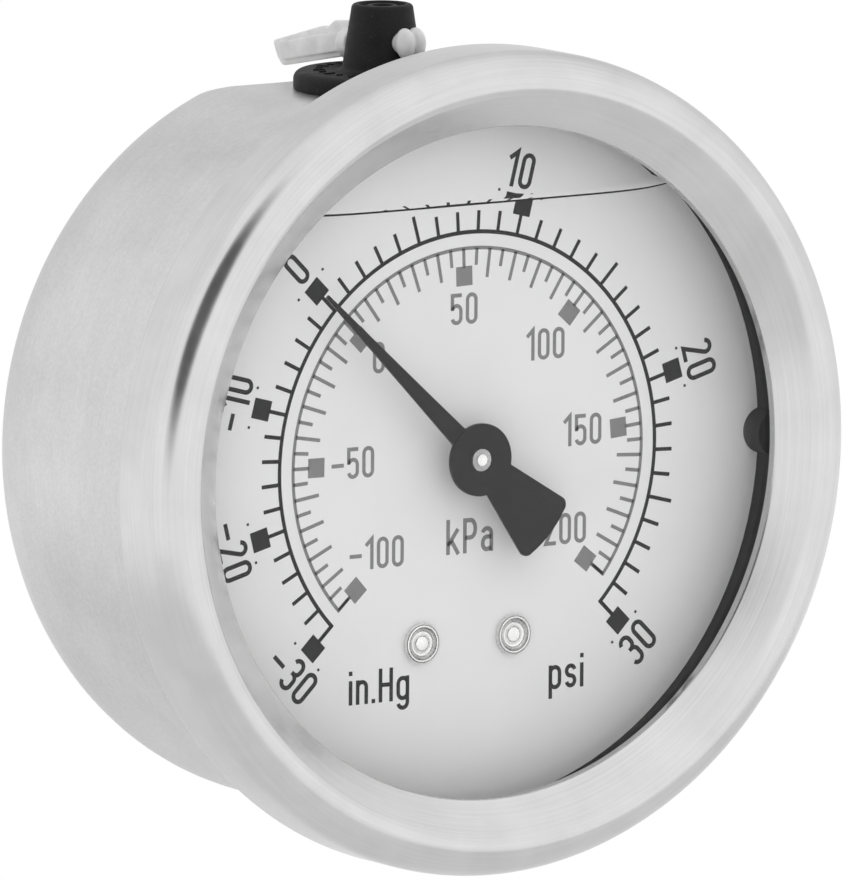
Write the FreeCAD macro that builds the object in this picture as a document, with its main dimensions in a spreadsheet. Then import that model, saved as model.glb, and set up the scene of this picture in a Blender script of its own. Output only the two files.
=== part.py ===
import FreeCAD, Part
import math
import os
import re
import Sketcher

# Liquid-filled compound pressure gauge, 63 mm size, centre back connection.
# Millimetres. +Z up, the dial faces -Y, +X is right as seen from the front.
# The origin is on the axis, at the shoulder where the connection thread begins.
# Turning about +Y is clockwise as seen from the front, the way the reading rises.

doc = FreeCAD.newDocument("PressureGauge")
sheet = doc.addObject("Spreadsheet::Sheet", "Sizes")

SIZES = [
    # Case: a drawn cup with a front flange and a pressed flat land on top for the plug.
    ("case_radius", 31.0),
    ("case_wall", 0.8),
    ("case_back", -9.5),
    ("case_corner", 8.5),
    ("flange_radius", 33.0),
    ("flange_front", -38.6),
    ("socket_hole_radius", 9.2),
    ("land_height", 29.05),
    ("land_half_length", 7.5),
    ("land_fall", 1.9),
    ("plug_station", -24.9),
    # Bezel: a rolled ring over the flange.
    ("bezel_radius", 34.0),
    ("bezel_front", -44.5),
    ("bezel_rear", -37.06),
    ("bezel_sheet", 0.8),
    ("bezel_round", 2.6),
    ("crest_radius", 31.1),
    ("opening_radius", 27.7),
    ("opening_front", -42.1),
    # Window, gasket and dial.
    ("window_radius", 32.6),
    ("window_front", -41.4),
    ("window_back", -39.4),
    ("gasket_inner", 29.05),
    ("gasket_sleeve", 30.05),
    ("lug_radius", 1.95),
    ("lug_centre", 29.5),
    ("dial_radius", 29.9),
    ("dial_front", -35.7),
    ("dial_back", -34.9),
    ("dial_screw_x", 4.55),
    ("dial_screw_z", -15.05),
    # Connection stem and socket.
    ("thread_radius", 6.858),
    ("thread_length", 14.0),
    ("thread_chamfer", 1.0),
    ("flats_width", 14.0),
    ("flats_corner_radius", 9.0),
    ("collar_radius", 13.2),
    ("collar_front", -14.3),
    ("ear_length", 18.5),
    ("ear_half_width", 4.5),
    ("case_screw_x", 15.5),
    ("block_half_width", 7.0),
    ("block_top", 7.0),
    ("block_bottom", -25.3),
    ("block_front", -26.8),
    ("port_radius", 2.5),
    ("passage_radius", 1.2),
    # Bourdon tube.
    ("tube_radius", 22.5),
    ("tube_width", 9.0),
    ("tube_thickness", 2.4),
    ("tube_wall", 0.3),
    ("tube_station", -20.5),
    ("tube_start", 97.0),
    ("tube_sweep", 268.0),
    # Movement.
    ("back_plate_front", -28.0),
    ("front_plate_back", -33.0),
    ("front_plate_front", -34.0),
    ("arbor_radius", 0.55),
    ("running_gap", 0.03),
    ("gear_module", 0.2),
    ("pinion_teeth", 12),
    ("sector_full_teeth", 120),
    ("sector_pivot_angle", -40.0),
    ("sector_back", -29.8),
    ("sector_thickness", 1.2),
    ("tail_length", 6.0),
    ("tail_angle", -25.0),
    ("link_pin_radius", 0.6),
    ("tip_pin_x", 18.4),
    ("tip_pin_z", -3.6),
    ("link_back", -28.9),
    ("link_thickness", 0.7),
    ("open_pivot_gap", 0.22),
    # Pointer.
    ("pointer_angle", -46.1),
    ("pointer_front", -38.7),
    ("pointer_thickness", 0.4),
    ("pointer_length", 21.0),
    ("hub_radius", 3.0),
    ("bush_radius", 0.92),
    # Fill plug and vent pin.
    ("plug_flange_radius", 7.3),
    ("plug_flange_top", 30.65),
    ("nipple_base_radius", 3.25),
    ("nipple_top_radius", 2.5),
    ("nipple_top", 36.05),
    ("plug_neck_radius", 4.4),
    ("vent_pin_tilt", 6.0),
    ("vent_pin_height", 32.75),
    ("vent_pin_radius", 0.9),
]

for row, (alias, size) in enumerate(SIZES, start=1):
    sheet.set("A%d" % row, alias)
    sheet.set("B%d" % row, str(size))
    sheet.setAlias("B%d" % row, alias)
doc.recompute()

WORD = re.compile(r"[A-Za-z_]\w*")
FUNCTIONS = ("sin", "cos", "tan", "sqrt", "deg")


def linked(expression):
    """Write an expression of sheet aliases the way another object has to refer to them."""
    return WORD.sub(lambda m: m.group() if m.group() in FUNCTIONS else "Sizes." + m.group(), str(expression))


def number(expression):
    """The present value of an expression of sheet aliases."""
    found = sheet.evalExpression(linked(expression).replace("Sizes.", ""))
    return float(getattr(found, "Value", found))


def bind(thing, prop, expression):
    thing.setExpression(prop, linked(expression))


def place(thing, x="0", y="0", z="0", axis=(0, 1, 0), turn="0"):
    """Put a sub-part at a station of the frame, turned about an axis through its own origin."""
    spin = FreeCAD.Rotation(FreeCAD.Vector(*axis), number(turn))
    base = FreeCAD.Vector(number(x), number(y), number(z))
    thing.Placement = FreeCAD.Placement(base, spin)
    bind(thing, "Placement.Base.x", x)
    bind(thing, "Placement.Base.y", y)
    bind(thing, "Placement.Base.z", z)


def turn_on_axis(thing, angle):
    """Turn a piece about the gauge's axis, clockwise as seen from the front."""
    thing.Placement.Rotation = FreeCAD.Rotation(FreeCAD.Vector(0, 1, 0), number(angle))


def named(thing, label):
    thing.Label = label
    return thing


def new_sketch(body, name, role):
    sketch = body.newObject("Sketcher::SketchObject", name)
    plane = [p for p in body.Origin.OriginFeatures if p.Role == role][0]
    sketch.AttachmentSupport = [(plane, "")]
    sketch.MapMode = "FlatFace"
    return sketch


def pin_point(sketch, edge, end, across, along):
    """Hold a sketch point at a place given by two expressions."""
    for kind, expression in (("DistanceX", across), ("DistanceY", along)):
        index = sketch.addConstraint(Sketcher.Constraint(kind, -1, 1, edge, end, number(expression)))
        sketch.setExpression("Constraints[%d]" % index, linked(expression))


def draw_loop(sketch, points):
    """A closed outline. A point is (across, along), or with a third value, the radius of the arc that
    leads to the next point; a positive radius bulges to the right of the way round."""
    count = len(points)
    places = [FreeCAD.Vector(number(p[0]), number(p[1]), 0) for p in points]
    edges = []
    starts = []
    for i, point in enumerate(points):
        start = places[i]
        end = places[(i + 1) % count]
        if len(point) == 2:
            edges.append(sketch.addGeometry(Part.LineSegment(start, end)))
            starts.append(1)
            continue
        radius = number(point[2])
        sign = 1 if radius > 0 else -1
        chord = end - start
        right = FreeCAD.Vector(chord.y, -chord.x, 0).normalize()
        rise = math.sqrt(max(radius ** 2 - (chord.Length / 2) ** 2, 0.0))
        centre = (start + end) * 0.5 - right * (sign * rise)
        first, last = (start, end) if sign > 0 else (end, start)
        from_angle = math.atan2(first.y - centre.y, first.x - centre.x)
        to_angle = math.atan2(last.y - centre.y, last.x - centre.x)
        circle = Part.Circle(centre, FreeCAD.Vector(0, 0, 1), abs(radius))
        index = sketch.addGeometry(Part.ArcOfCircle(circle, from_angle, to_angle))
        edges.append(index)
        starts.append(1 if sign > 0 else 2)
        grip = sketch.addConstraint(Sketcher.Constraint("Radius", index, abs(radius)))
        sketch.setExpression("Constraints[%d]" % grip, linked("(%s) * %d" % (point[2], sign)))
    for i in range(count):
        following = (i + 1) % count
        end_of_this = 3 - starts[i]
        sketch.addConstraint(Sketcher.Constraint("Coincident", edges[i], end_of_this,
                                                 edges[following], starts[following]))
    for i, point in enumerate(points):
        pin_point(sketch, edges[i], starts[i], point[0], point[1])


def draw_circle(sketch, across, along, radius):
    centre = FreeCAD.Vector(number(across), number(along), 0)
    edge = sketch.addGeometry(Part.Circle(centre, FreeCAD.Vector(0, 0, 1), number(radius)))
    pin_point(sketch, edge, 3, across, along)
    grip = sketch.addConstraint(Sketcher.Constraint("Radius", edge, number(radius)))
    sketch.setExpression("Constraints[%d]" % grip, linked(radius))


def turned(label, *loops, angle="360"):
    """A piece turned about Y from outlines of (radius, station)."""
    body = doc.addObject("PartDesign::Body", label)
    sketch = new_sketch(body, label + "_profile", "XY_Plane")
    for loop in loops:
        draw_loop(sketch, loop)
    turn = body.newObject("PartDesign::Revolution", label + "_turn")
    turn.Profile = sketch
    turn.ReferenceAxis = (sketch, ["V_Axis"])
    bind(turn, "Angle", angle)
    sketch.Visibility = False
    return named(body, label)


def plate(label, thickness, loops=(), circles=()):
    """A flat piece in the XZ plane, from y = 0 towards the front."""
    body = doc.addObject("PartDesign::Body", label)
    add_pad(body, label, thickness, loops, circles)
    return named(body, label)


def add_pad(body, name, thickness, loops=(), circles=()):
    sketch = new_sketch(body, name + "_outline", "XZ_Plane")
    for loop in loops:
        draw_loop(sketch, loop)
    for circle in circles:
        draw_circle(sketch, *circle)
    pad = body.newObject("PartDesign::Pad", name + "_pad")
    pad.Profile = sketch
    bind(pad, "Length", thickness)
    return pad


def cylinder(name, radius, start, end, x="0", z="0"):
    """A Part cylinder along Y between two stations."""
    rod = doc.addObject("Part::Cylinder", name)
    bind(rod, "Radius", radius)
    bind(rod, "Height", "(%s) - (%s)" % (end, start))
    place(rod, x, start, z, (1, 0, 0), "-90")
    return rod


def box(name, low, high):
    """A Part box between two corners given as expressions."""
    block = doc.addObject("Part::Box", name)
    for prop, a, b in zip(("Length", "Width", "Height"), low, high):
        bind(block, prop, "(%s) - (%s)" % (b, a))
    place(block, *low)
    return block


def fused(name, *pieces):
    joined = doc.addObject("Part::MultiFuse", name)
    joined.Shapes = list(pieces)
    joined.Refine = True
    return joined


def cut(name, base, *tools):
    tool = tools[0]
    if len(tools) > 1:
        tool = fused(name + "_tools", *tools)
    result = doc.addObject("Part::Cut", name)
    result.Base = base
    result.Tool = tool
    return result


def common(name, first, second):
    both = doc.addObject("Part::Common", name)
    both.Base = first
    both.Tool = second
    return both


def group(label, *pieces):
    """Separate solids of identical pieces, kept as one sub-part."""
    gathered = doc.addObject("Part::Compound", label)
    gathered.Links = list(pieces)
    return named(gathered, label)


def made(label, shape):
    """A sub-part whose shape is worked out in code."""
    feature = doc.addObject("Part::Feature", label)
    feature.Shape = shape
    return named(feature, label)


# --- Case ------------------------------------------------------------------------------------
outer_cup = turned("case_outside", [
    ("0", "flange_front"),
    ("flange_radius", "flange_front"),
    ("flange_radius", "flange_front + case_wall"),
    ("case_radius + 0.3", "flange_front + case_wall", "-0.3"),
    ("case_radius", "flange_front + case_wall + 0.3"),
    ("case_radius", "case_back - case_corner", "case_corner"),
    ("case_radius - case_corner", "case_back"),
    ("0", "case_back"),
])
inner_cup = turned("case_inside", [
    ("0", "flange_front - 1"),
    ("case_radius - case_wall", "flange_front - 1"),
    ("case_radius - case_wall", "case_back - case_corner", "case_corner - case_wall"),
    ("case_radius - case_corner", "case_back - case_wall"),
    ("0", "case_back - case_wall"),
])


def land_tool(name, height):
    """A block that presses the flat land into a cup. Its front end slopes up to the cup's side, and
    its rear end falls away gently over the cup's back corner."""
    tool = doc.addObject("PartDesign::Body", name)
    sketch = new_sketch(tool, name + "_side", "YZ_Plane")
    front_slope = "(case_radius + 2 - (%s)) * 0.6" % height
    draw_loop(sketch, [
        ("plug_station - land_half_length", height),
        ("plug_station + land_half_length", height),
        ("case_back + 1", height + " - land_fall"),
        ("case_back + 1", "case_radius + 2"),
        ("plug_station - land_half_length - " + front_slope, "case_radius + 2"),
    ])
    pad = tool.newObject("PartDesign::Pad", name + "_pad")
    pad.Profile = sketch
    pad.Midplane = True
    bind(pad, "Length", "case_radius * 2")
    return tool


case_outer = cut("case_outer", outer_cup, land_tool("land_outside", "land_height"))
case_inner = cut("case_inner", inner_cup, land_tool("land_inside", "land_height - case_wall"))
plug_hole = doc.addObject("Part::Cylinder", "plug_hole")
bind(plug_hole, "Radius", "plug_neck_radius + 0.05")
plug_hole.Height = 12
place(plug_hole, "0", "plug_station", "land_height - 8")
case_openings = [
    case_inner,
    plug_hole,
    cylinder("socket_hole", "socket_hole_radius", "case_back - 3", "case_back + 1"),
    cylinder("case_screw_hole_right", "1.6", "case_back - 3", "case_back + 1", "case_screw_x"),
    cylinder("case_screw_hole_left", "1.6", "case_back - 3", "case_back + 1", "-case_screw_x"),
]
case = named(cut("case_shell", case_outer, *case_openings), "case")

# --- Bezel, window and gasket ----------------------------------------------------------------
bezel = turned("bezel", [
    ("case_radius + 0.35", "bezel_rear"),
    ("case_radius + 0.35", "flange_front + case_wall + 0.02"),
    ("bezel_radius - bezel_sheet", "flange_front + case_wall + 0.02"),
    ("bezel_radius - bezel_sheet", "bezel_front + bezel_round - 0.2"),
    ("crest_radius", "bezel_front + bezel_sheet + 0.25"),
    ("opening_radius + 1.2", "window_front"),
    ("opening_radius", "window_front"),
    ("opening_radius", "opening_front"),
    ("crest_radius - 0.25", "bezel_front + 0.06"),
    ("bezel_radius - bezel_round", "bezel_front", "bezel_round"),
    ("bezel_radius", "bezel_front + bezel_round"),
    ("bezel_radius", "bezel_rear - 0.5", "0.5"),
    ("bezel_radius - 0.5", "bezel_rear"),
])
window = turned("window", [
    ("0", "window_front"),
    ("window_radius", "window_front"),
    ("window_radius", "window_back"),
    ("0", "window_back"),
])
ring = turned("gasket_ring", [
    ("gasket_inner", "window_back"),
    ("window_radius", "window_back"),
    ("window_radius", "flange_front"),
    ("gasket_sleeve", "flange_front"),
    ("gasket_sleeve", "dial_front"),
    ("gasket_inner", "dial_front"),
])
lug_round = cylinder("lug_round", "lug_radius", "window_back", "dial_front", "lug_centre")
lug_limit = cylinder("lug_limit", "gasket_sleeve", "window_back", "dial_front")
gasket = named(fused("gasket", ring, common("lug", lug_round, lug_limit)), "window_gasket")

# --- Dial ------------------------------------------------------------------------------------
dial = plate("dial", "dial_back - dial_front", circles=[
    ("0", "0", "dial_radius"),
    ("0", "0", "1.6"),
    ("dial_screw_x", "dial_screw_z", "0.85"),
    ("-dial_screw_x", "dial_screw_z", "0.85"),
])
place(dial, y="dial_back")


def at_both_sides(label, builder):
    """The same piece at the left and right dial posts."""
    pair = []
    for side, x in (("left", "-dial_screw_x"), ("right", "dial_screw_x")):
        piece = builder(label + "_" + side)
        place(piece, x, "0", "dial_screw_z")
        pair.append(piece)
    return group(label, *pair)


dial_screws = at_both_sides("dial_screws", lambda name: turned(name, [
    ("0", "dial_front - 0.35"),
    ("0.75", "dial_front - 0.35"),
    ("0.75", "dial_front - 0.12"),
    ("1.1", "dial_front - 0.12"),
    ("1.3", "dial_front - 0.55"),
    ("1.5", "dial_front - 0.55"),
    ("1.7", "dial_front - 0.3"),
    ("1.7", "dial_front"),
    ("0.8", "dial_front"),
    ("0.8", "dial_back + 2.4"),
    ("0", "dial_back + 2.4"),
]))
dial_posts = at_both_sides("dial_posts", lambda name: turned(name, [
    ("0.8", "dial_back"),
    ("1.8", "dial_back"),
    ("1.8", "block_front"),
    ("0", "block_front"),
    ("0", "dial_back + 3"),
    ("0.8", "dial_back + 2.6"),
]))

# --- Socket, with the connection stem ----------------------------------------------------------
stem = turned("stem", [
    ("0", "-1"),
    ("thread_radius", "-1"),
    ("thread_radius", "thread_length - thread_chamfer"),
    ("thread_radius - thread_chamfer", "thread_length"),
    ("0", "thread_length"),
])
flats = common("flats",
               box("flats_square",
                   ("-flats_width / 2", "case_back - case_wall - 1", "-flats_width / 2"),
                   ("flats_width / 2", "0", "flats_width / 2")),
               cylinder("flats_corners", "flats_corner_radius", "case_back - case_wall - 1", "0"))
collar = cylinder("collar", "collar_radius", "collar_front", "case_back - case_wall")
ears = box("ears",
           ("-ear_length", "collar_front", "-ear_half_width"),
           ("ear_length", "case_back - case_wall", "ear_half_width"))
block = box("block",
            ("-block_half_width", "block_front", "block_bottom"),
            ("block_half_width", "collar_front", "block_top"))
socket_body = fused("socket_body", stem, flats, collar, ears, block)
O_RING = [
    ("collar_radius - 2.9", "case_back - case_wall - 1.1"),
    ("collar_radius - 1.5", "case_back - case_wall - 1.1"),
    ("collar_radius - 1.5", "case_back - case_wall"),
    ("collar_radius - 2.9", "case_back - case_wall"),
]
socket_o_ring = turned("socket_o_ring", O_RING)
riser = doc.addObject("Part::Cylinder", "riser")
bind(riser, "Radius", "passage_radius")
bind(riser, "Height", "tube_radius")
place(riser, "0", "tube_station", "-tube_radius")


def tube_section(grow, wall="0"):
    """The flattened tube's outline, as wide along Y as it is thick along the radius."""
    half = "(tube_thickness / 2 - (%s) + (%s))" % (wall, grow)
    flat = "(tube_width / 2 - tube_thickness / 2)"
    inner = "tube_radius - " + half
    outer = "tube_radius + " + half
    return [
        (inner, "tube_station - " + flat, half),
        (outer, "tube_station - " + flat),
        (outer, "tube_station + " + flat, half),
        (inner, "tube_station + " + flat),
    ]


tube_seat = turned("tube_seat", tube_section("0.02"), angle="30")
turn_on_axis(tube_seat, "tube_start - 7")
bores = [
    cylinder("port", "port_radius", "2", "thread_length + 1"),
    cylinder("passage", "passage_radius", "tube_station", "3"),
    riser,
    tube_seat,
    turned("o_ring_groove", O_RING),
]
for side, x in (("right", "case_screw_x"), ("left", "-case_screw_x")):
    bores.append(cylinder("ear_thread_" + side, "1.5", "collar_front - 1", "case_back", x))
MOVEMENT_SCREWS = (("-3.4", "2.4"), ("-3.6", "-6.4"))
for i, (x, z) in enumerate(MOVEMENT_SCREWS):
    bores.append(cylinder("movement_thread_%d" % i, "0.9", "block_front - 1", "block_front + 4", x, z))
socket = named(cut("socket_cut", socket_body, *bores), "socket")
restrictor = turned("restrictor", [
    ("0.3", "2.2"),
    ("port_radius - 0.02", "2.2"),
    ("port_radius - 0.02", "6.2"),
    ("1.1", "6.2"),
    ("0.3", "5.2"),
])

screw_pair = []
for side, x in (("right", "case_screw_x"), ("left", "-case_screw_x")):
    screw = turned("case_screw_" + side, [
        ("0", "collar_front + 0.3"),
        ("1.5", "collar_front + 0.3"),
        ("1.5", "case_back"),
        ("2.8", "case_back"),
        ("2.8", "case_back + 1.1", "0.9"),
        ("2.0", "case_back + 1.8"),
        ("0.9", "case_back + 1.8"),
        ("0.7", "case_back + 0.7"),
        ("0", "case_back + 0.7"),
    ])
    place(screw, x)
    screw_pair.append(screw)
case_screws = group("case_screws", *screw_pair)

# --- Bourdon tube ------------------------------------------------------------------------------
bourdon_tube = turned("bourdon_tube", tube_section("0"), tube_section("0", "tube_wall"), angle="tube_sweep")
turn_on_axis(bourdon_tube, "tube_start")

# --- Movement ----------------------------------------------------------------------------------
PIVOT_X = "gear_module * (pinion_teeth + sector_full_teeth) / 2 * cos(sector_pivot_angle * 1deg)"
PIVOT_Z = "gear_module * (pinion_teeth + sector_full_teeth) / 2 * sin(sector_pivot_angle * 1deg)"
PILLARS = (("-5.9", "5.2"), ("-4.6", "-10.0"), ("12.2", "3.2"))
PLATE_OUTLINE = [("-8.2", "7.6"), ("-6.6", "-12.1"), ("13.4", "-11.4"), ("14.6", "5.4")]


def movement_plate(label, station, thickness, extra):
    holes = [
        ("0", "0", "arbor_radius + running_gap"),
        (PIVOT_X, PIVOT_Z, "arbor_radius + running_gap"),
    ]
    holes += list(extra)
    piece = plate(label, thickness, [PLATE_OUTLINE], holes)
    place(piece, y=station)
    return piece


back_plate = movement_plate("movement_back_plate", "block_front", "block_front - back_plate_front",
                            [(x, z, "0.9") for x, z in MOVEMENT_SCREWS])
front_plate = movement_plate("movement_front_plate", "front_plate_back",
                             "front_plate_back - front_plate_front", [(x, z, "0.6") for x, z in PILLARS])


def at_pillars(label, points, places=PILLARS):
    pieces = []
    for i, (x, z) in enumerate(places):
        piece = turned("%s_%d" % (label, i), points)
        place(piece, x, "0", z)
        pieces.append(piece)
    return group(label, *pieces)


plate_pillars = at_pillars("plate_pillars", [
    ("0.6", "front_plate_back"),
    ("1.3", "front_plate_back"),
    ("1.3", "back_plate_front"),
    ("0", "back_plate_front"),
    ("0", "front_plate_back + 2.4"),
    ("0.6", "front_plate_back + 2.4"),
])
plate_screws = at_pillars("plate_screws", [
    ("0", "front_plate_front - 0.3"),
    ("0.3", "front_plate_front - 0.6"),
    ("1.15", "front_plate_front - 0.6"),
    ("1.15", "front_plate_front"),
    ("0.6", "front_plate_front"),
    ("0.6", "front_plate_back + 2.2"),
    ("0", "front_plate_back + 2.2"),
])
movement_screws = at_pillars("movement_screws", [
    ("0", "back_plate_front - 0.3"),
    ("0.4", "back_plate_front - 0.8"),
    ("1.6", "back_plate_front - 0.8"),
    ("1.6", "back_plate_front"),
    ("0.9", "back_plate_front"),
    ("0.9", "block_front + 3.6"),
    ("0", "block_front + 3.6"),
], MOVEMENT_SCREWS)


# --- Gears ---------------------------------------------------------------------------------------
def tooth_outline(teeth, module, tip_height, root_depth, thickness_share):
    """Half of one involute tooth, as (radius, angle from the tooth's middle), root to tip."""
    pitch_radius = module * teeth / 2
    base_radius = pitch_radius * math.cos(math.radians(20))
    tip_radius = pitch_radius + tip_height * module
    root_radius = pitch_radius - root_depth * module
    half_at_pitch = math.pi * thickness_share / teeth

    def opening(radius):
        if radius <= base_radius:
            return 0.0
        roll = math.acos(base_radius / radius)
        return math.tan(roll) - roll

    steps = 5
    flank = []
    start = max(root_radius, base_radius)
    if root_radius < base_radius:
        flank.append((root_radius, half_at_pitch + opening(pitch_radius)))
    for i in range(steps + 1):
        radius = start + (tip_radius - start) * i / steps
        flank.append((radius, half_at_pitch + opening(pitch_radius) - opening(radius)))
    return flank


def gear_wire(teeth, count, first, module, tip_height, root_depth, thickness_share):
    """Points round the teeth, each as a vector in the XZ plane. Angles rise clockwise from +Z."""
    flank = tooth_outline(teeth, module, tip_height, root_depth, thickness_share)
    pitch_angle = 2 * math.pi / teeth
    points = []
    for i in range(count):
        middle = first + i * pitch_angle
        for radius, half in flank:
            points.append((radius, middle - half))
        for radius, half in reversed(flank):
            points.append((radius, middle + half))
    return [FreeCAD.Vector(r * math.sin(a), 0, r * math.cos(a)) for r, a in points]


def extruded(points, depth):
    """A solid from a closed ring of points, from y = 0 towards the front."""
    wire = Part.makePolygon(points + [points[0]])
    return Part.Face(wire).extrude(FreeCAD.Vector(0, -depth, 0))


def rod_along_y(radius, start, end, x=0.0, z=0.0):
    return Part.makeCylinder(radius, end - start, FreeCAD.Vector(x, start, z), FreeCAD.Vector(0, 1, 0))


# Heights and depths of the teeth are in modules; the share is of the pitch, and leaves some backlash.
PINION_TIP = 0.9
SECTOR_TIP = 0.8
TOOTH_ROOT = 1.25
THICKNESS_SHARE = 0.42
ARBOR_TIP_RADIUS = 0.48
module_size = number("gear_module")
teeth_pinion = int(number("pinion_teeth"))
teeth_sector = int(number("sector_full_teeth"))
pivot = FreeCAD.Vector(number(PIVOT_X), 0, number(PIVOT_Z))
towards_pinion = math.atan2(-pivot.x, -pivot.z)
arbor = number("arbor_radius")

# The pinion is cut on its own arbor. A gap of the pinion faces the sector's pivot.
gap_angle = towards_pinion + math.pi
pinion_ring = gear_wire(teeth_pinion, teeth_pinion, gap_angle + math.pi / teeth_pinion,
                        module_size, PINION_TIP, TOOTH_ROOT, THICKNESS_SHARE)
pinion_back = number("sector_back") + 0.3
pinion_depth = number("sector_thickness") + 0.6
pinion = extruded(pinion_ring, pinion_depth)
pinion.translate(FreeCAD.Vector(0, pinion_back, 0))
arbor_solid = rod_along_y(arbor, number("front_plate_front - 0.9"), number("block_front - 0.1"))
arbor_tip = rod_along_y(ARBOR_TIP_RADIUS, number("pointer_front - 0.4"), number("front_plate_front - 0.9"))
pinion_arbor = made("pinion_arbor", pinion.fuse([arbor_solid, arbor_tip]).removeSplitter())

# The sector carries one tooth in the pinion's gap, and runs on towards the end of its travel.
TEETH_BEFORE = 4
TEETH_AFTER = 8
pitch = 2 * math.pi / teeth_sector
sector_first = towards_pinion - TEETH_BEFORE * pitch
sector_count = TEETH_BEFORE + TEETH_AFTER + 1
tooth_ring = gear_wire(teeth_sector, sector_count, sector_first,
                       module_size, SECTOR_TIP, TOOTH_ROOT, THICKNESS_SHARE)
root = module_size * teeth_sector / 2 - TOOTH_ROOT * module_size


def polar(radius, angle):
    """A point in the XZ plane, with the angle in radians clockwise from +Z."""
    return FreeCAD.Vector(radius * math.sin(angle), 0, radius * math.cos(angle))


sector_depth = number("sector_thickness")
rim_depth = 2.0
start_angle = sector_first - pitch
end_angle = sector_first + sector_count * pitch
rim_steps = 8
inner_rim = [polar(root - rim_depth, end_angle + (start_angle - end_angle) * i / rim_steps)
             for i in range(rim_steps + 1)]
rim = extruded([polar(root, start_angle)] + tooth_ring + [polar(root, end_angle)] + inner_rim, sector_depth)
tail_clock = math.radians(90 - number("tail_angle"))
tail_end = polar(number("tail_length"), tail_clock)


def arm(end_radius, angle, half_width):
    """A straight arm out from the sector's pivot."""
    across = polar(half_width, angle + math.pi / 2)
    end = polar(end_radius, angle)
    return extruded([across, across + end, end - across, across * -1], sector_depth)


arms = [arm(root - rim_depth / 2, angle, 0.7) for angle in (start_angle + pitch, end_angle - pitch)]
arms.append(arm(number("tail_length"), tail_clock, 1.0))
SECTOR_HUB_RADIUS = 2.2
SECTOR_BORE_RADIUS = 0.7
TAIL_EYE_RADIUS = 1.3
hub = rod_along_y(SECTOR_HUB_RADIUS, -sector_depth, 0.0)
tail_eye = rod_along_y(TAIL_EYE_RADIUS, -sector_depth, 0.0, tail_end.x, tail_end.z)
hub_bore = rod_along_y(SECTOR_BORE_RADIUS, -sector_depth - 1, 1)
pin_bore = rod_along_y(number("link_pin_radius"), -sector_depth - 1, 1, tail_end.x, tail_end.z)
sector_solid = rim.fuse(arms + [hub, tail_eye]).removeSplitter().cut([hub_bore, pin_bore])
sector_gear = made("sector_gear", sector_solid)
place(sector_gear, PIVOT_X, "sector_back", PIVOT_Z)

sector_arbor = turned("sector_arbor", [
    ("0", "front_plate_front + 0.1"),
    ("arbor_radius", "front_plate_front + 0.1"),
    ("arbor_radius", "front_plate_back + 0.3"),
    ("1.1", "front_plate_back + 0.3"),
    ("1.1", "sector_back - sector_thickness"),
    ("0.7", "sector_back - sector_thickness"),
    ("0.7", "sector_back"),
    ("1.1", "sector_back"),
    ("1.1", "back_plate_front - 0.3"),
    ("arbor_radius", "back_plate_front - 0.3"),
    ("arbor_radius", "block_front - 0.1"),
    ("0", "block_front - 0.1"),
])
place(sector_arbor, PIVOT_X, "0", PIVOT_Z)

TAIL_X = PIVOT_X + " + tail_length * cos(tail_angle * 1deg)"
TAIL_Z = PIVOT_Z + " + tail_length * sin(tail_angle * 1deg)"
tail_pin = turned("tail_pin", [
    ("0", "sector_back - sector_thickness - 0.3"),
    ("1.0", "sector_back - sector_thickness - 0.3"),
    ("1.0", "sector_back - sector_thickness"),
    ("link_pin_radius", "sector_back - sector_thickness"),
    ("link_pin_radius", "link_back + 0.25"),
    ("0", "link_back + 0.25"),
])
place(tail_pin, TAIL_X, "0", TAIL_Z)

# --- Link and tube tip ---------------------------------------------------------------------------
link_reach = (number("tip_pin_x") - number(TAIL_X), number("tip_pin_z") - number(TAIL_Z))
link_length = math.hypot(*link_reach)
link_clock = math.atan2(link_reach[0], link_reach[1])
link_depth = number("link_thickness")
LINK_HALF_WAIST = 0.75
LINK_EYE_RADIUS = 1.5
waist = [polar(LINK_HALF_WAIST, link_clock + side * math.pi / 2) for side in (1, -1)]
far = polar(link_length, link_clock)
link_solid = extruded([waist[0], waist[0] + far, waist[1] + far, waist[1]], link_depth)
eyes = [rod_along_y(LINK_EYE_RADIUS, -link_depth, 0.0, end.x, end.z) for end in (FreeCAD.Vector(), far)]
open_hole = rod_along_y(number("link_pin_radius + open_pivot_gap"), -link_depth - 1, 1)
close_hole = rod_along_y(number("link_pin_radius + running_gap"), -link_depth - 1, 1, far.x, far.z)
link_solid = link_solid.fuse(eyes).removeSplitter().cut([open_hole, close_hole])
link = made("link", link_solid)
place(link, TAIL_X, "link_back", TAIL_Z)

cap_ring = turned("cap_ring", [
    ("tube_radius - tube_thickness / 2 - 0.7", "tube_station - tube_width / 2 - 0.7"),
    ("tube_radius + tube_thickness / 2 + 0.7", "tube_station - tube_width / 2 - 0.7"),
    ("tube_radius + tube_thickness / 2 + 0.7", "tube_station + tube_width / 2 + 0.7"),
    ("tube_radius - tube_thickness / 2 - 0.7", "tube_station + tube_width / 2 + 0.7"),
], angle="16")
cap_start = "tube_start + tube_sweep - 4 - 360"
turn_on_axis(cap_ring, cap_start)
cap_socket = turned("cap_socket", tube_section("0.02"), angle="10")
turn_on_axis(cap_socket, cap_start + " - 6")
tip_ear = box("tip_ear",
              ("tip_pin_x - 1.6", "link_back + 0.3", "tip_pin_z - 1.8"),
              ("tip_pin_x + 4.2", "tube_station - 1", "tip_pin_z + 1.8"))
ear_hole = cylinder("ear_hole", "link_pin_radius", "link_back - 1", "link_back + 4", "tip_pin_x", "tip_pin_z")
tube_tip = named(cut("tip_cut", fused("tip_body", cap_ring, tip_ear), cap_socket, ear_hole), "tube_tip")
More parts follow.
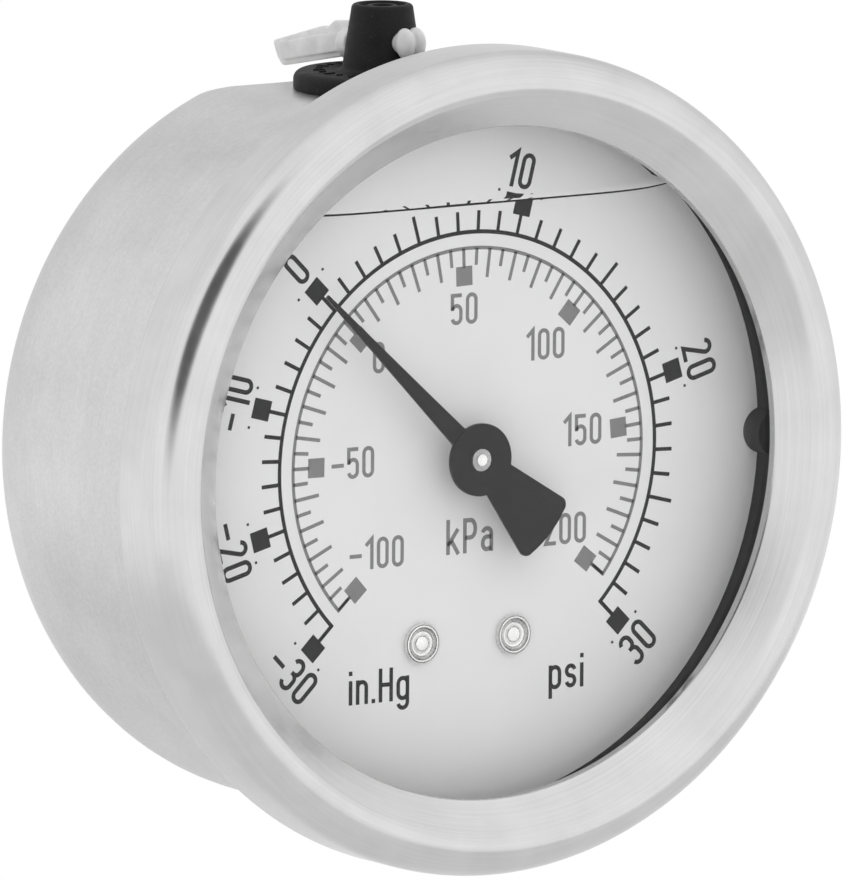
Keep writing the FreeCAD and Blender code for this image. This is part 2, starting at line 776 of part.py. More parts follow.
tip_pin = turned("tip_pin", [
    ("0", "link_back - link_thickness - 0.35"),
    ("1.0", "link_back - link_thickness - 0.35"),
    ("1.0", "link_back - link_thickness - 0.05"),
    ("link_pin_radius", "link_back - link_thickness - 0.05"),
    ("link_pin_radius", "link_back + 3"),
    ("0", "link_back + 3"),
])
place(tip_pin, "tip_pin_x", "0", "tip_pin_z")

# --- Hairspring ------------------------------------------------------------------------------------
SPRING_INNER = 1.35
SPRING_TURN = 0.9
SPRING_TURNS = 4.25
SPRING_STRIP = 0.14
SPRING_DEPTH = 0.8


def spiral_curve(offset):
    steps = int(SPRING_TURNS * 16)
    knots = []
    for i in range(steps + 1):
        turn_share = SPRING_TURNS * i / steps
        knots.append(polar(SPRING_INNER + SPRING_TURN * turn_share + offset, 2 * math.pi * turn_share))
    curve = Part.BSplineCurve()
    curve.interpolate(knots)
    return curve.toShape()


inner_curve = spiral_curve(0.0)
outer_curve = spiral_curve(SPRING_STRIP)
ends = [Part.makeLine(inner_curve.Vertexes[i].Point, outer_curve.Vertexes[i].Point) for i in (0, 1)]
spring_wire = Part.Wire(Part.__sortEdges__([inner_curve, ends[1], outer_curve, ends[0]]))
hairspring = made("hairspring", Part.Face(spring_wire).extrude(FreeCAD.Vector(0, -SPRING_DEPTH, 0)))
place(hairspring, y="front_plate_back + 1.3")
hairspring_collet = turned("hairspring_collet", [
    ("arbor_radius", "front_plate_back + 0.3"),
    ("1.3", "front_plate_back + 0.3"),
    ("1.3", "front_plate_back + 1.4"),
    ("arbor_radius", "front_plate_back + 1.4"),
])
stud_place = polar(SPRING_INNER + SPRING_TURN * SPRING_TURNS + 0.5, 2 * math.pi * SPRING_TURNS)
hairspring_stud = turned("hairspring_stud", [
    ("0", "front_plate_back"),
    ("0.35", "front_plate_back"),
    ("0.35", "front_plate_back + 1.5"),
    ("0", "front_plate_back + 1.5"),
])
place(hairspring_stud, str(round(stud_place.x, 3)), "0", str(round(stud_place.z, 3)))

# --- Pointer ---------------------------------------------------------------------------------------
pointer = plate("pointer", "pointer_thickness", [[
    ("-0.875", "hub_radius - 0.6"),
    ("-1.6", "-hub_radius + 0.6"),
    ("-3.0", "-8.6", "0.75"),
    ("-2.3", "-9.35", "9.6"),
    ("2.3", "-9.35", "0.75"),
    ("3.0", "-8.6"),
    ("1.6", "-hub_radius + 0.6"),
    ("0.875", "hub_radius - 0.6"),
    ("0.56", "10"),
    ("0.15", "pointer_length"),
    ("-0.15", "pointer_length"),
    ("-0.56", "10"),
]])
add_pad(pointer, "pointer_hub", "pointer_thickness + 0.15", circles=[("0", "0", "hub_radius")])
hub_sketch = new_sketch(pointer, "pointer_back_disc", "XZ_Plane")
draw_circle(hub_sketch, "0", "0", "hub_radius - 0.35")
hub_back = pointer.newObject("PartDesign::Pad", "pointer_back_pad")
hub_back.Profile = hub_sketch
hub_back.Reversed = True
hub_back.Length = 0.8
bore_sketch = new_sketch(pointer, "pointer_bore", "XZ_Plane")
draw_circle(bore_sketch, "0", "0", "bush_radius")
bore_cut = pointer.newObject("PartDesign::Pocket", "pointer_bore_cut")
bore_cut.Profile = bore_sketch
bore_cut.Midplane = True
bore_cut.Length = 8
place(pointer, "0", "pointer_front + pointer_thickness", "0")
turn_on_axis(pointer, "pointer_angle")
pointer_bush = turned("pointer_bush", [
    ("0.5", "pointer_front - 0.3"),
    ("bush_radius", "pointer_front - 0.3"),
    ("bush_radius", "pointer_front + 1.5"),
    ("0.5", "pointer_front + 1.5"),
])

# --- Fill plug and vent pin --------------------------------------------------------------------------
def stood(label, points):
    """A piece turned about Z from an outline of (radius, height)."""
    body = doc.addObject("PartDesign::Body", label)
    sketch = new_sketch(body, label + "_profile", "XZ_Plane")
    draw_loop(sketch, points)
    turn = body.newObject("PartDesign::Revolution", label + "_turn")
    turn.Profile = sketch
    turn.ReferenceAxis = (sketch, ["V_Axis"])
    return named(body, label)


plug_solid = stood("plug_body", [
    ("0", "land_height - 3.2"),
    ("plug_neck_radius - 0.8", "land_height - 3.2"),
    ("plug_neck_radius + 0.7", "land_height - 1.6"),
    ("plug_neck_radius + 0.7", "land_height - case_wall"),
    ("plug_neck_radius", "land_height - case_wall"),
    ("plug_neck_radius", "land_height"),
    ("plug_flange_radius", "land_height"),
    ("plug_flange_radius", "plug_flange_top - 0.5", "0.5"),
    ("plug_flange_radius - 0.5", "plug_flange_top"),
    ("nipple_base_radius + 0.4", "plug_flange_top", "-0.45"),
    ("nipple_base_radius", "plug_flange_top + 0.45"),
    ("nipple_top_radius", "nipple_top - 0.3", "0.3"),
    ("nipple_top_radius - 0.3", "nipple_top"),
    ("1.7", "nipple_top"),
    ("1.6", "nipple_top - 0.4"),
    ("0", "nipple_top - 0.4"),
])
place(plug_solid, "0", "plug_station", "0")
pin_hole = doc.addObject("Part::Cylinder", "pin_hole")
bind(pin_hole, "Radius", "vent_pin_radius + 0.05")
pin_hole.Height = 12
pin_centre = FreeCAD.Vector(0, number("plug_station"), number("vent_pin_height"))
hole_turn = FreeCAD.Rotation(FreeCAD.Vector(1, 0, 0), -90 - number("vent_pin_tilt"))
pin_hole.Placement = FreeCAD.Placement(pin_centre + hole_turn.multVec(FreeCAD.Vector(0, 0, -6)), hole_turn)
fill_plug = named(cut("plug_cut", plug_solid, pin_hole), "fill_plug")

pin_turned = turned("pin_turned", [
    ("0", "-5.1"),
    ("0.7", "-5.1", "0.8"),
    ("1.35", "-4.4"),
    ("1.35", "-3.9", "0.9"),
    ("vent_pin_radius", "-3.2"),
    ("vent_pin_radius", "3.6"),
    ("1.4", "3.6"),
    ("1.4", "5.2"),
    ("0", "5.2"),
])
blade = doc.addObject("PartDesign::Body", "pin_blade")
blade_sketch = new_sketch(blade, "pin_blade_side", "YZ_Plane")
draw_loop(blade_sketch, [
    ("4.2", "-1.0"),
    ("14.5", "-1.9"),
    ("15.2", "-1.2"),
    ("15.8", "0.3"),
    ("8.3", "1.5"),
    ("7.5", "1.35"),
    ("6.4", "1.95"),
    ("4.2", "1.95"),
])
blade_pad = blade.newObject("PartDesign::Pad", "pin_blade_pad")
blade_pad.Profile = blade_sketch
blade_pad.Midplane = True
blade_pad.Length = 1.5
vent_pin = named(fused("pin_joined", pin_turned, blade), "vent_pin")
pin_turn = FreeCAD.Rotation(FreeCAD.Vector(1, 0, 0), -number("vent_pin_tilt"))
vent_pin.Placement = FreeCAD.Placement(pin_centre, pin_turn)

SUB_PARTS = [
    case, bezel, window, gasket, dial, dial_screws, dial_posts, socket, socket_o_ring, restrictor,
    case_screws, bourdon_tube, back_plate, front_plate, plate_pillars, plate_screws, movement_screws,
    pinion_arbor, sector_gear, sector_arbor, tail_pin, link, tube_tip, tip_pin, hairspring,
    hairspring_collet, hairspring_stud, pointer, pointer_bush, fill_plug, vent_pin,
]

doc.recompute()

# --- Checks and files ----------------------------------------------------------------------------------
for thing in doc.Objects:
    if "Invalid" in thing.State or "Error" in thing.State:
        raise RuntimeError("%s failed: %s" % (thing.Label, thing.State))
for part in SUB_PARTS:
    if part.Shape.isNull() or not part.Shape.isValid() or not part.Shape.Solids:
        raise RuntimeError("%s has no valid shape" % part.Label)

os.makedirs("parts", exist_ok=True)
for part in SUB_PARTS:
    part.Shape.exportStep("parts/%s.step" % part.Label)
    print("%-22s solids %d volume %.2f" % (part.Label, len(part.Shape.Solids), part.Shape.Volume))
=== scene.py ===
import math

import bmesh
import bpy
from mathutils import Matrix, Vector


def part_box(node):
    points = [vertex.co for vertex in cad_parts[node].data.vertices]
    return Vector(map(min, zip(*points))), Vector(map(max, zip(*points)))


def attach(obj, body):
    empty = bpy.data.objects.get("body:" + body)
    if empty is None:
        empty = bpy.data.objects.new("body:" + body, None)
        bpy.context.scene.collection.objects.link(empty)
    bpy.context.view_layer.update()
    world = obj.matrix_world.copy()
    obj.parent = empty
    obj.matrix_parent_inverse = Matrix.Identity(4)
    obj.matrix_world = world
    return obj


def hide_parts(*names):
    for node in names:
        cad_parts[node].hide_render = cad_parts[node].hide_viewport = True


# The looks of a liquid-filled compound pressure gauge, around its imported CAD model.
# Sizes are millimetres in the row frame: the dial faces -Y, +Z is up, +X is right from the front.
# Meshes are made in metres. Stations come from the CAD nodes' boxes.

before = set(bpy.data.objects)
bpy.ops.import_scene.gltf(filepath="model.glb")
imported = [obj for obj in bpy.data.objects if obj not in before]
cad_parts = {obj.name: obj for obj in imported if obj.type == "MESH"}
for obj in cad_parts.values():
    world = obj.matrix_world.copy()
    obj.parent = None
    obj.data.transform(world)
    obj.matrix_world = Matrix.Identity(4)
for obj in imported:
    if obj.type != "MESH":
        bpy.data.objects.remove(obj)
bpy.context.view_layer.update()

MM = 0.001
ROUND_SEGMENTS = 288
SHARP_ANGLE = math.radians(32)


def box_of(node):
    """The lowest and highest corner of a CAD node, in millimetres."""
    low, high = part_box(node)
    return low / MM, high / MM


# --- Stations taken from the frame -------------------------------------------------------------
case_low, case_high = box_of("case")
bezel_low, bezel_high = box_of("bezel")
window_low, window_high = box_of("window")
plug_low, plug_high = box_of("fill_plug")
screws_low, screws_high = box_of("dial_screws")

FLANGE_RADIUS = case_high.x
FLANGE_WIDTH = 2.0
CASE_RADIUS = FLANGE_RADIUS - FLANGE_WIDTH
CASE_WALL = 0.8
CASE_FRONT = case_low.y
CASE_BACK = case_high.y
CASE_CORNER = 8.5
SOCKET_HOLE = 9.2

BEZEL_RADIUS = bezel_high.x
BEZEL_FRONT = bezel_low.y
BEZEL_REAR = bezel_high.y
BEZEL_SHEET = 0.8
BEZEL_ROUND = 2.6
OPENING_RADIUS = 27.7
OPENING_DEPTH = 2.4

WINDOW_FRONT = window_low.y
WINDOW_BACK = window_high.y
GASKET_INNER = 29.05
DIAL_FRONT = box_of("dial")[0].y

PLUG_STATION = (plug_low.y + plug_high.y) / 2
PLUG_FLANGE = plug_high.x
PLUG_TOP = plug_high.z
PLUG_HEIGHT = 7.0
PIN_BELOW_TOP = 3.3
PIN_HEIGHT = PLUG_TOP - PIN_BELOW_TOP
PIN_TILT = math.radians(6.0)
PIN_RADIUS = 0.9

# The flat pressed into the top of the case, under the plug.
LAND_HEIGHT = PLUG_TOP - PLUG_HEIGHT
LAND_HALF_LENGTH = 7.5
LAND_END_SLOPE = 0.6
LAND_FALL = 1.9
LAND_BLEND = 0.5
LAND_REACH = 8.0

# Maps a turned piece's own axis, local +Z, onto the gauge's axis, +Y.
GAUGE_AXIS = Matrix.Rotation(math.radians(-90), 4, "X")


# --- Outlines ----------------------------------------------------------------------------------
def outline(corners, longest=None, arc_steps=8):
    """The points of an open or closed outline. A corner is (across, along), or with a third value,
    the radius it is rounded to. Straight runs are divided so that none is over the longest."""
    points = []
    count = len(corners)
    for index, corner in enumerate(corners):
        here = Vector(corner[:2])
        if len(corner) < 3:
            points.append(here)
            continue
        before = (Vector(corners[index - 1][:2]) - here).normalized()
        after = (Vector(corners[(index + 1) % count][:2]) - here).normalized()
        half_angle = before.angle(after) / 2
        centre = here + (before + after).normalized() * (corner[2] / math.sin(half_angle))
        start = here + before * (corner[2] / math.tan(half_angle)) - centre
        finish = here + after * (corner[2] / math.tan(half_angle)) - centre
        sweep = start.angle_signed(finish)
        for step in range(arc_steps + 1):
            turn = Matrix.Rotation(-sweep * step / arc_steps, 2)
            points.append(centre + turn @ start)
    if longest:
        points = divided(points, longest)
    return points


def divided(points, longest):
    """The same outline with its long runs cut into equal shorter ones."""
    result = []
    for first, second in zip(points, points[1:]):
        parts = max(1, math.ceil((second - first).length / longest))
        result += [first.lerp(second, part / parts) for part in range(parts)]
    return result + [points[-1]]


def arc(centre, radii, start, finish, steps=14):
    """Points along an ellipse, by angles in degrees, anticlockwise from the right."""
    angles = [math.radians(start + (finish - start) * step / steps) for step in range(steps + 1)]
    return [(centre[0] + radii[0] * math.cos(a), centre[1] + radii[1] * math.sin(a)) for a in angles]


# --- Meshes ------------------------------------------------------------------------------------
def join_rows(mesh_data, first, second, around=False):
    """Faces between two rows of equally many vertices, which may run all the way around."""
    count = len(first)
    for index in range(count if around else count - 1):
        after = (index + 1) % count
        mesh_data.faces.new((first[index], first[after], second[after], second[index]))


def make_object(name, mesh_data, material):
    """Finish a bmesh given in millimetres: face outwards, scale to metres, shade, give the material."""
    bmesh.ops.remove_doubles(mesh_data, verts=mesh_data.verts, dist=0.0005)
    bmesh.ops.recalc_face_normals(mesh_data, faces=mesh_data.faces)
    bmesh.ops.scale(mesh_data, vec=(MM, MM, MM), verts=mesh_data.verts)
    mesh = bpy.data.meshes.new(name)
    mesh_data.to_mesh(mesh)
    mesh_data.free()
    mesh.shade_smooth()
    mesh.set_sharp_from_angle(angle=SHARP_ANGLE)
    mesh.materials.append(material)
    piece = bpy.data.objects.new(name, mesh)
    bpy.context.scene.collection.objects.link(piece)
    return piece


def add_turned(mesh_data, points, axis, closed=True, segments=ROUND_SEGMENTS, reshape=None):
    """Turn an outline of (radius, along) points about the axis frame's Z."""
    rings = []
    for index, point in enumerate(points):
        if abs(point[0]) < 1e-6:
            ring = [mesh_data.verts.new(axis @ Vector((0, 0, point[1])))]
        else:
            ring = []
            for segment in range(segments):
                turn = 2 * math.pi * segment / segments
                place = axis @ Vector((point[0] * math.cos(turn), point[0] * math.sin(turn), point[1]))
                if reshape:
                    place = reshape(place, index)
                ring.append(mesh_data.verts.new(place))
        rings.append(ring)
    pairs = list(zip(rings, rings[1:]))
    if closed:
        pairs.append((rings[-1], rings[0]))
    for first, second in pairs:
        for segment in range(segments):
            after = (segment + 1) % segments
            corners = [first[segment % len(first)], first[after % len(first)],
                       second[after % len(second)], second[segment % len(second)]]
            corners = list(dict.fromkeys(corners))
            if len(corners) > 2:
                mesh_data.faces.new(corners)


def turned(name, points, material, axis=GAUGE_AXIS, closed=True, segments=ROUND_SEGMENTS, reshape=None):
    """A piece of its own, turned from one outline."""
    mesh_data = bmesh.new()
    add_turned(mesh_data, points, axis, closed, segments, reshape)
    return make_object(name, mesh_data, material)


def finished(piece, body, slot, *replaced):
    """Hang the piece on the empty of the body it rides on, and hide the CAD nodes it stands for. The slot is
    not used.
    """
    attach(piece, body)
    if replaced:
        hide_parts(*replaced)
    return piece


def apply_modifiers(piece):
    """Replace the piece's mesh by what its modifiers make of it."""
    graph = bpy.context.evaluated_depsgraph_get()
    mesh = bpy.data.meshes.new_from_object(piece.evaluated_get(graph))
    piece.modifiers.clear()
    piece.data = mesh
    mesh.shade_smooth()


# --- Materials ---------------------------------------------------------------------------------
class NodeTree:
    """A short way to write node trees: inputs are numbers, colours or other nodes' sockets."""

    def __init__(self, tree):
        self.tree = tree

    def feed(self, socket, value):
        if isinstance(value, bpy.types.NodeSocket):
            self.tree.links.new(value, socket)
        else:
            socket.default_value = value

    def node(self, kind, inputs=None, **settings):
        made = self.tree.nodes.new("ShaderNode" + kind)
        for name, value in settings.items():
            setattr(made, name, value)
        for name, value in (inputs or {}).items():
            self.feed(made.inputs[name], value)
        return made

    def calculate(self, operation, *values):
        made = self.tree.nodes.new("ShaderNodeMath")
        made.operation = operation
        for socket, value in zip(made.inputs, values):
            self.feed(socket, value)
        return made.outputs[0]

    def vector(self, operation, *values):
        made = self.tree.nodes.new("ShaderNodeVectorMath")
        made.operation = operation
        for socket, value in zip(made.inputs, values):
            self.feed(socket, value)
        return made.outputs["Value" if operation == "DOT_PRODUCT" else "Vector"]

    def remap(self, value, low, high, new_low, new_high, smooth=False):
        made = self.node("MapRange", {
            "Value": value, "From Min": low, "From Max": high, "To Min": new_low, "To Max": new_high,
        })
        if smooth:
            made.interpolation_type = "SMOOTHSTEP"
        return made.outputs["Result"]


class Material(NodeTree):
    """A Principled material whose patterns are laid out in millimetres of the piece's own mesh."""

    def __init__(self, name, metallic=0.0, roughness=0.5, **sockets):
        self.data = bpy.data.materials.new(name)
        self.data.use_nodes = True
        super().__init__(self.data.node_tree)
        self.shader = self.tree.nodes["Principled BSDF"]
        self.shader.inputs["Metallic"].default_value = metallic
        self.shader.inputs["Roughness"].default_value = roughness
        for socket, value in sockets.items():
            self.shader.inputs[socket.replace("_", " ")].default_value = value

    def millimetres(self):
        place = self.node("TexCoord").outputs["Object"]
        return self.node("VectorMath", {0: place, "Scale": 1 / MM}, operation="SCALE").outputs[0]

    def noise(self, place, scale, detail=3.0, roughness=0.5):
        """Noise from 0 to 1; scale is how many grains there are to a millimetre."""
        return self.node("TexNoise", {
            "Vector": place, "Scale": scale, "Detail": detail, "Roughness": roughness,
        }).outputs[0]

    def turning_grain(self, across, around, detail=4.0):
        """Fine lines that run round the gauge's axis, as brushing in a lathe leaves them."""
        parts = self.node("SeparateXYZ", {0: self.millimetres()})
        x, y, z = parts.outputs
        radius = self.calculate(
            "SQRT", self.calculate("ADD", self.calculate("MULTIPLY", x, x), self.calculate("MULTIPLY", z, z)))
        scaled = self.node("CombineXYZ", {
            0: self.calculate("DIVIDE", self.calculate("MULTIPLY", x, around), radius),
            1: self.calculate("MULTIPLY", y, across),
            2: self.calculate("DIVIDE", self.calculate("MULTIPLY", z, around), radius),
        }).outputs[0]
        return self.node("TexNoise", {
            "Vector": scaled, "W": self.calculate("MULTIPLY", radius, across), "Scale": 1.0, "Detail": detail,
        }, noise_dimensions="4D").outputs[0]

    def grey(self, low, high, value):
        """Colour from one grey to another, following a value from 0.25 to 0.75."""
        level = self.remap(value, 0.25, 0.75, low, high)
        self.feed(self.shader.inputs["Base Color"],
                  self.node("CombineColor", {0: level, 1: level, 2: level}).outputs[0])

    def tint(self, dark, light, value):
        mix = self.node("Mix", {0: self.remap(value, 0.25, 0.75, 0.0, 1.0)}, data_type="RGBA")
        self.feed(mix.inputs[6], (*dark, 1))
        self.feed(mix.inputs[7], (*light, 1))
        self.feed(self.shader.inputs["Base Color"], mix.outputs[2])

    def rough(self, low, high, value):
        self.feed(self.shader.inputs["Roughness"], self.remap(value, 0.25, 0.75, low, high))

    def bump(self, height, depth, strength=1.0):
        """Raise the surface by depth millimetres of the height; calls add up."""
        made = self.node("Bump", {"Height": height, "Distance": depth * MM, "Strength": strength})
        if self.shader.inputs["Normal"].is_linked:
            self.feed(made.inputs["Normal"], self.shader.inputs["Normal"].links[0].from_socket)
        self.feed(self.shader.inputs["Normal"], made.outputs[0])

    def turned_tangent(self):
        self.feed(self.shader.inputs["Tangent"],
                  self.node("Tangent", direction_type="RADIAL", axis="Y").outputs[0])


def case_steel():
    """Stainless drawn and finely blasted, with faint drawing lines round it."""
    steel = Material("case_steel", metallic=1.0, Anisotropic=0.35)
    place = steel.millimetres()
    grain = steel.noise(place, 3.2, 3.0, 0.6)
    lines = steel.turning_grain(2.6, 9.0)
    cloud = steel.noise(place, 0.10, 4.0, 0.6)
    tone = steel.calculate("MULTIPLY", cloud, 0.5)
    tone = steel.calculate("ADD", tone, steel.calculate("MULTIPLY", lines, 0.15))
    tone = steel.calculate("ADD", tone, steel.calculate("MULTIPLY", grain, 0.35))
    steel.grey(0.50, 0.74, tone)
    steel.rough(0.30, 0.46, cloud)
    steel.bump(grain, 0.02)
    steel.bump(lines, 0.004)
    steel.turned_tangent()
    return steel.data


def bezel_steel():
    """Stainless spun round and polished satin, with fine rings and a few soft marks."""
    steel = Material("bezel_steel", metallic=1.0, Anisotropic=0.45)
    rings = steel.turning_grain(5.0, 2.2, 5.0)
    marks = steel.noise(steel.millimetres(), 0.16, 4.0, 0.6)
    steel.grey(0.55, 0.70, steel.calculate("ADD", steel.calculate("MULTIPLY", marks, 0.6),
                                           steel.calculate("MULTIPLY", rings, 0.4)))
    steel.rough(0.16, 0.28, marks)
    steel.bump(rings, 0.003)
    steel.bump(steel.noise(steel.millimetres(), 0.22, 2.0), 0.02)
    steel.turned_tangent()
    return steel.data


def clear_material(name, colour, bend, mirrors):
    """A clear body that bends what is seen through it. It mirrors at its faces unless it lies against
    another clear body. Light on its way to the dial passes straight through, so that the dial is lit
    evenly and without noise."""
    clear = Material(name, roughness=0.0, IOR=bend, Transmission_Weight=1.0)
    clear.shader.inputs["Base Color"].default_value = (*colour, 1)
    path = clear.node("LightPath")
    straight = clear.node("BsdfTransparent").outputs[0]
    surface = clear.shader.outputs[0]
    if not mirrors:
        bending = {"Color": (*colour, 1), "Roughness": 0.0, "IOR": bend}
        surface = clear.node("BsdfRefraction", bending).outputs[0]
        clear.tree.nodes.remove(clear.shader)
    for ray in ("Is Diffuse Ray", "Is Shadow Ray"):
        surface = clear.node("MixShader", {0: path.outputs[ray], 1: surface, 2: straight}).outputs[0]
    clear.feed(clear.tree.nodes["Material Output"].inputs["Surface"], surface)
    return clear.data


def black_rubber():
    """Moulded nitrile: near black, matt, with pale specks and a fine grain."""
    rubber = Material("black_rubber", roughness=0.6, Specular_IOR_Level=0.16)
    place = rubber.millimetres()
    specks = rubber.noise(place, 5.5, 2.0, 0.7)
    dust = rubber.remap(specks, 0.66, 0.76, 0.0, 1.0)
    cloud = rubber.noise(place, 0.8, 3.0)
    level = rubber.calculate("ADD", rubber.remap(cloud, 0.25, 0.75, 0.009, 0.018),
                             rubber.calculate("MULTIPLY", dust, 0.06))
    rubber.feed(rubber.shader.inputs["Base Color"],
                rubber.node("CombineColor", {0: level, 1: level, 2: level}).outputs[0])
    rubber.rough(0.48, 0.72, cloud)
    rubber.bump(specks, 0.03)
    return rubber.data


def dial_white():
    """Off-white paint on aluminium, with a light orange peel."""
    paint = Material("dial_white", roughness=0.45, Specular_IOR_Level=0.15)
    place = paint.millimetres()
    paint.grey(0.79, 0.82, paint.noise(place, 0.15, 3.0))
    paint.rough(0.40, 0.52, paint.noise(place, 1.3, 2.0))
    paint.bump(paint.noise(place, 2.4, 2.0), 0.004)
    return paint.data


def printing_ink(name, dark, light):
    """Screen ink with a slightly uneven laydown."""
    ink = Material(name, roughness=0.5, Specular_IOR_Level=0.08)
    place = ink.millimetres()
    ink.grey(dark, light, ink.noise(place, 3.0, 3.0))
    ink.rough(0.42, 0.6, ink.noise(place, 5.0, 2.0))
    ink.bump(ink.noise(place, 9.0, 2.0), 0.002)
    return ink.data


def pointer_black():
    """Satin black lacquer on thin sheet."""
    lacquer = Material("pointer_black", roughness=0.4, Specular_IOR_Level=0.08)
    place = lacquer.millimetres()
    lacquer.grey(0.006, 0.012, lacquer.noise(place, 0.6, 3.0))
    lacquer.rough(0.34, 0.5, lacquer.noise(place, 2.0, 3.0))
    lacquer.bump(lacquer.noise(place, 4.0, 2.0), 0.004)
    return lacquer.data


def metal(name, dark, light, low_rough, high_rough, grain=2.5, depth=0.008):
    """A machined metal with a fine grain, slightly uneven in colour and in gloss."""
    made = Material(name, metallic=1.0)
    place = made.millimetres()
    cloud = made.noise(place, 0.5, 4.0, 0.6)
    made.tint(dark, light, cloud)
    made.rough(low_rough, high_rough, made.noise(place, 1.4, 3.0))
    made.bump(made.noise(place, grain, 3.0), depth)
    return made.data


def nylon():
    """Milky moulded nylon that lets some light through."""
    plastic = Material("nylon", roughness=0.35, IOR=1.53, Subsurface_Weight=0.35, Subsurface_Scale=0.0012)
    plastic.shader.inputs["Subsurface Radius"].default_value = (1, 1, 1)
    place = plastic.millimetres()
    plastic.grey(0.60, 0.74, plastic.noise(place, 0.7, 3.0))
    plastic.rough(0.28, 0.42, plastic.noise(place, 2.0, 3.0))
    plastic.bump(plastic.noise(place, 1.6, 3.0), 0.03)
    return plastic.data


def floor_paint():
    paint = Material("floor_paint", roughness=0.7)
    paint.grey(0.86, 0.89, paint.noise(paint.millimetres(), 0.004, 3.0))
    return paint.data


MATERIALS = {
    "case_steel": case_steel(),
    "bezel_steel": bezel_steel(),
    "window_clear": clear_material("window_clear", (1, 1, 1), 1.31, mirrors=True),
    "glycerine": clear_material("glycerine", (0.99, 0.99, 0.99), 1.47, mirrors=False),
    "black_rubber": black_rubber(),
    "dial_white": dial_white(),
    "screw_steel": metal("screw_steel", (0.78, 0.78, 0.78), (0.92, 0.92, 0.91), 0.2, 0.34),
    "bush_steel": metal("bush_steel", (0.30, 0.30, 0.30), (0.46, 0.46, 0.46), 0.24, 0.36),
    "brass": metal("brass", (0.60, 0.45, 0.22), (0.76, 0.60, 0.33), 0.24, 0.38),
    "bronze": metal("bronze", (0.52, 0.33, 0.20), (0.66, 0.45, 0.29), 0.28, 0.42),
    "spring_bronze": metal("spring_bronze", (0.62, 0.44, 0.28), (0.72, 0.54, 0.36), 0.2, 0.3),
    "pointer_black": pointer_black(),
    "nylon": nylon(),
    "print_black": printing_ink("print_black", 0.006, 0.012),
    "print_grey": printing_ink("print_grey", 0.20, 0.23),
}

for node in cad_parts.values():
    for material_slot in node.material_slots:
        material_slot.material = MATERIALS[material_slot.material.name.split(".")[0]]
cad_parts["pointer_bush"].material_slots[0].material = MATERIALS["bush_steel"]


# --- Case --------------------------------------------------------------------------------------
def land_at(along):
    """The height of the pressed flat on top of the case, which slopes up at its front end and falls
    away gently over the case's back corner."""
    front_end = PLUG_STATION - LAND_HALF_LENGTH
    back_end = PLUG_STATION + LAND_HALF_LENGTH
    if along < front_end:
        return LAND_HEIGHT + (front_end - along) / LAND_END_SLOPE
    if along > back_end:
        return LAND_HEIGHT - LAND_FALL * (along - back_end) / (CASE_BACK + 1 - back_end)
    return LAND_HEIGHT


def smooth_least(first, second, blend):
    """The smaller of two numbers, with the change from one to the other rounded over the blend."""
    share = min(1.0, max(0.0, 0.5 + 0.5 * (second - first) / blend))
    return second + (first - second) * share - blend * share * (1 - share)


def build_case():
    """The drawn cup, with a front flange and the flat for the plug pressed into its top."""
    skin = outline([
        (SOCKET_HOLE, CASE_BACK),
        (CASE_RADIUS, CASE_BACK, CASE_CORNER),
        (CASE_RADIUS, CASE_FRONT + CASE_WALL, 0.3),
        (FLANGE_RADIUS, CASE_FRONT + CASE_WALL, 0.15),
        (FLANGE_RADIUS, CASE_FRONT, 0.15),
        (CASE_RADIUS - CASE_WALL, CASE_FRONT),
    ], longest=0.8, arc_steps=14)
    lining = outline([
        (CASE_RADIUS - CASE_WALL, CASE_FRONT),
        (CASE_RADIUS - CASE_WALL, CASE_BACK - CASE_WALL, CASE_CORNER - CASE_WALL),
        (SOCKET_HOLE, CASE_BACK - CASE_WALL),
    ], longest=0.8, arc_steps=14)

    def press_flat(place, index):
        if place.z < LAND_HEIGHT - LAND_REACH or place.y < CASE_FRONT + CASE_WALL:
            return place
        limit = land_at(place.y) - (CASE_WALL if index >= len(skin) else 0)
        place.z = smooth_least(place.z, limit, LAND_BLEND)
        return place

    case = turned("case_shell", skin + lining[1:], MATERIALS["case_steel"], segments=480, reshape=press_flat)
    return finished(case, "case", "case_steel", "case")


# --- Bezel, liquid -------------------------------------------------------------------------------
def build_bezel():
    """The rolled ring, from behind the case's flange round the outside to a crest, and down a cone to
    the window."""
    crest = BEZEL_RADIUS - BEZEL_ROUND - 0.55
    sleeve = CASE_RADIUS + 0.35
    lining = BEZEL_RADIUS - BEZEL_SHEET
    flange_back = CASE_FRONT + CASE_WALL + 0.02
    profile = outline([
        (sleeve, BEZEL_REAR),
        (sleeve, flange_back),
        (lining, flange_back),
        (lining, BEZEL_FRONT + BEZEL_ROUND - 0.2, 1.8),
        (crest + 0.25, BEZEL_FRONT + BEZEL_SHEET + 0.25, 0.4),
        (OPENING_RADIUS + 1.2, WINDOW_FRONT),
        (OPENING_RADIUS, WINDOW_FRONT),
        (OPENING_RADIUS, BEZEL_FRONT + OPENING_DEPTH, 0.3),
        (crest, BEZEL_FRONT + 0.02, 1.6),
        (BEZEL_RADIUS, BEZEL_FRONT, BEZEL_ROUND),
        (BEZEL_RADIUS, BEZEL_REAR, 0.5),
    ], arc_steps=12)
    bezel = turned("bezel_ring", profile, MATERIALS["bezel_steel"], segments=384)
    return finished(bezel, "case", "bezel_steel", "bezel")


LIQUID_LEVEL = 21.0
LIQUID_RADIUS = GASKET_INNER + 0.2
LIQUID_FRONT = WINDOW_BACK + 0.02
LIQUID_BACK = DIAL_FRONT + 0.2

# How high the liquid climbs what it wets, and the distance over which that fades.
WALL_RISE = (1.0, 2.0)
WINDOW_RISE = (0.30, 0.5)
DIAL_RISE = (0.22, 0.5)


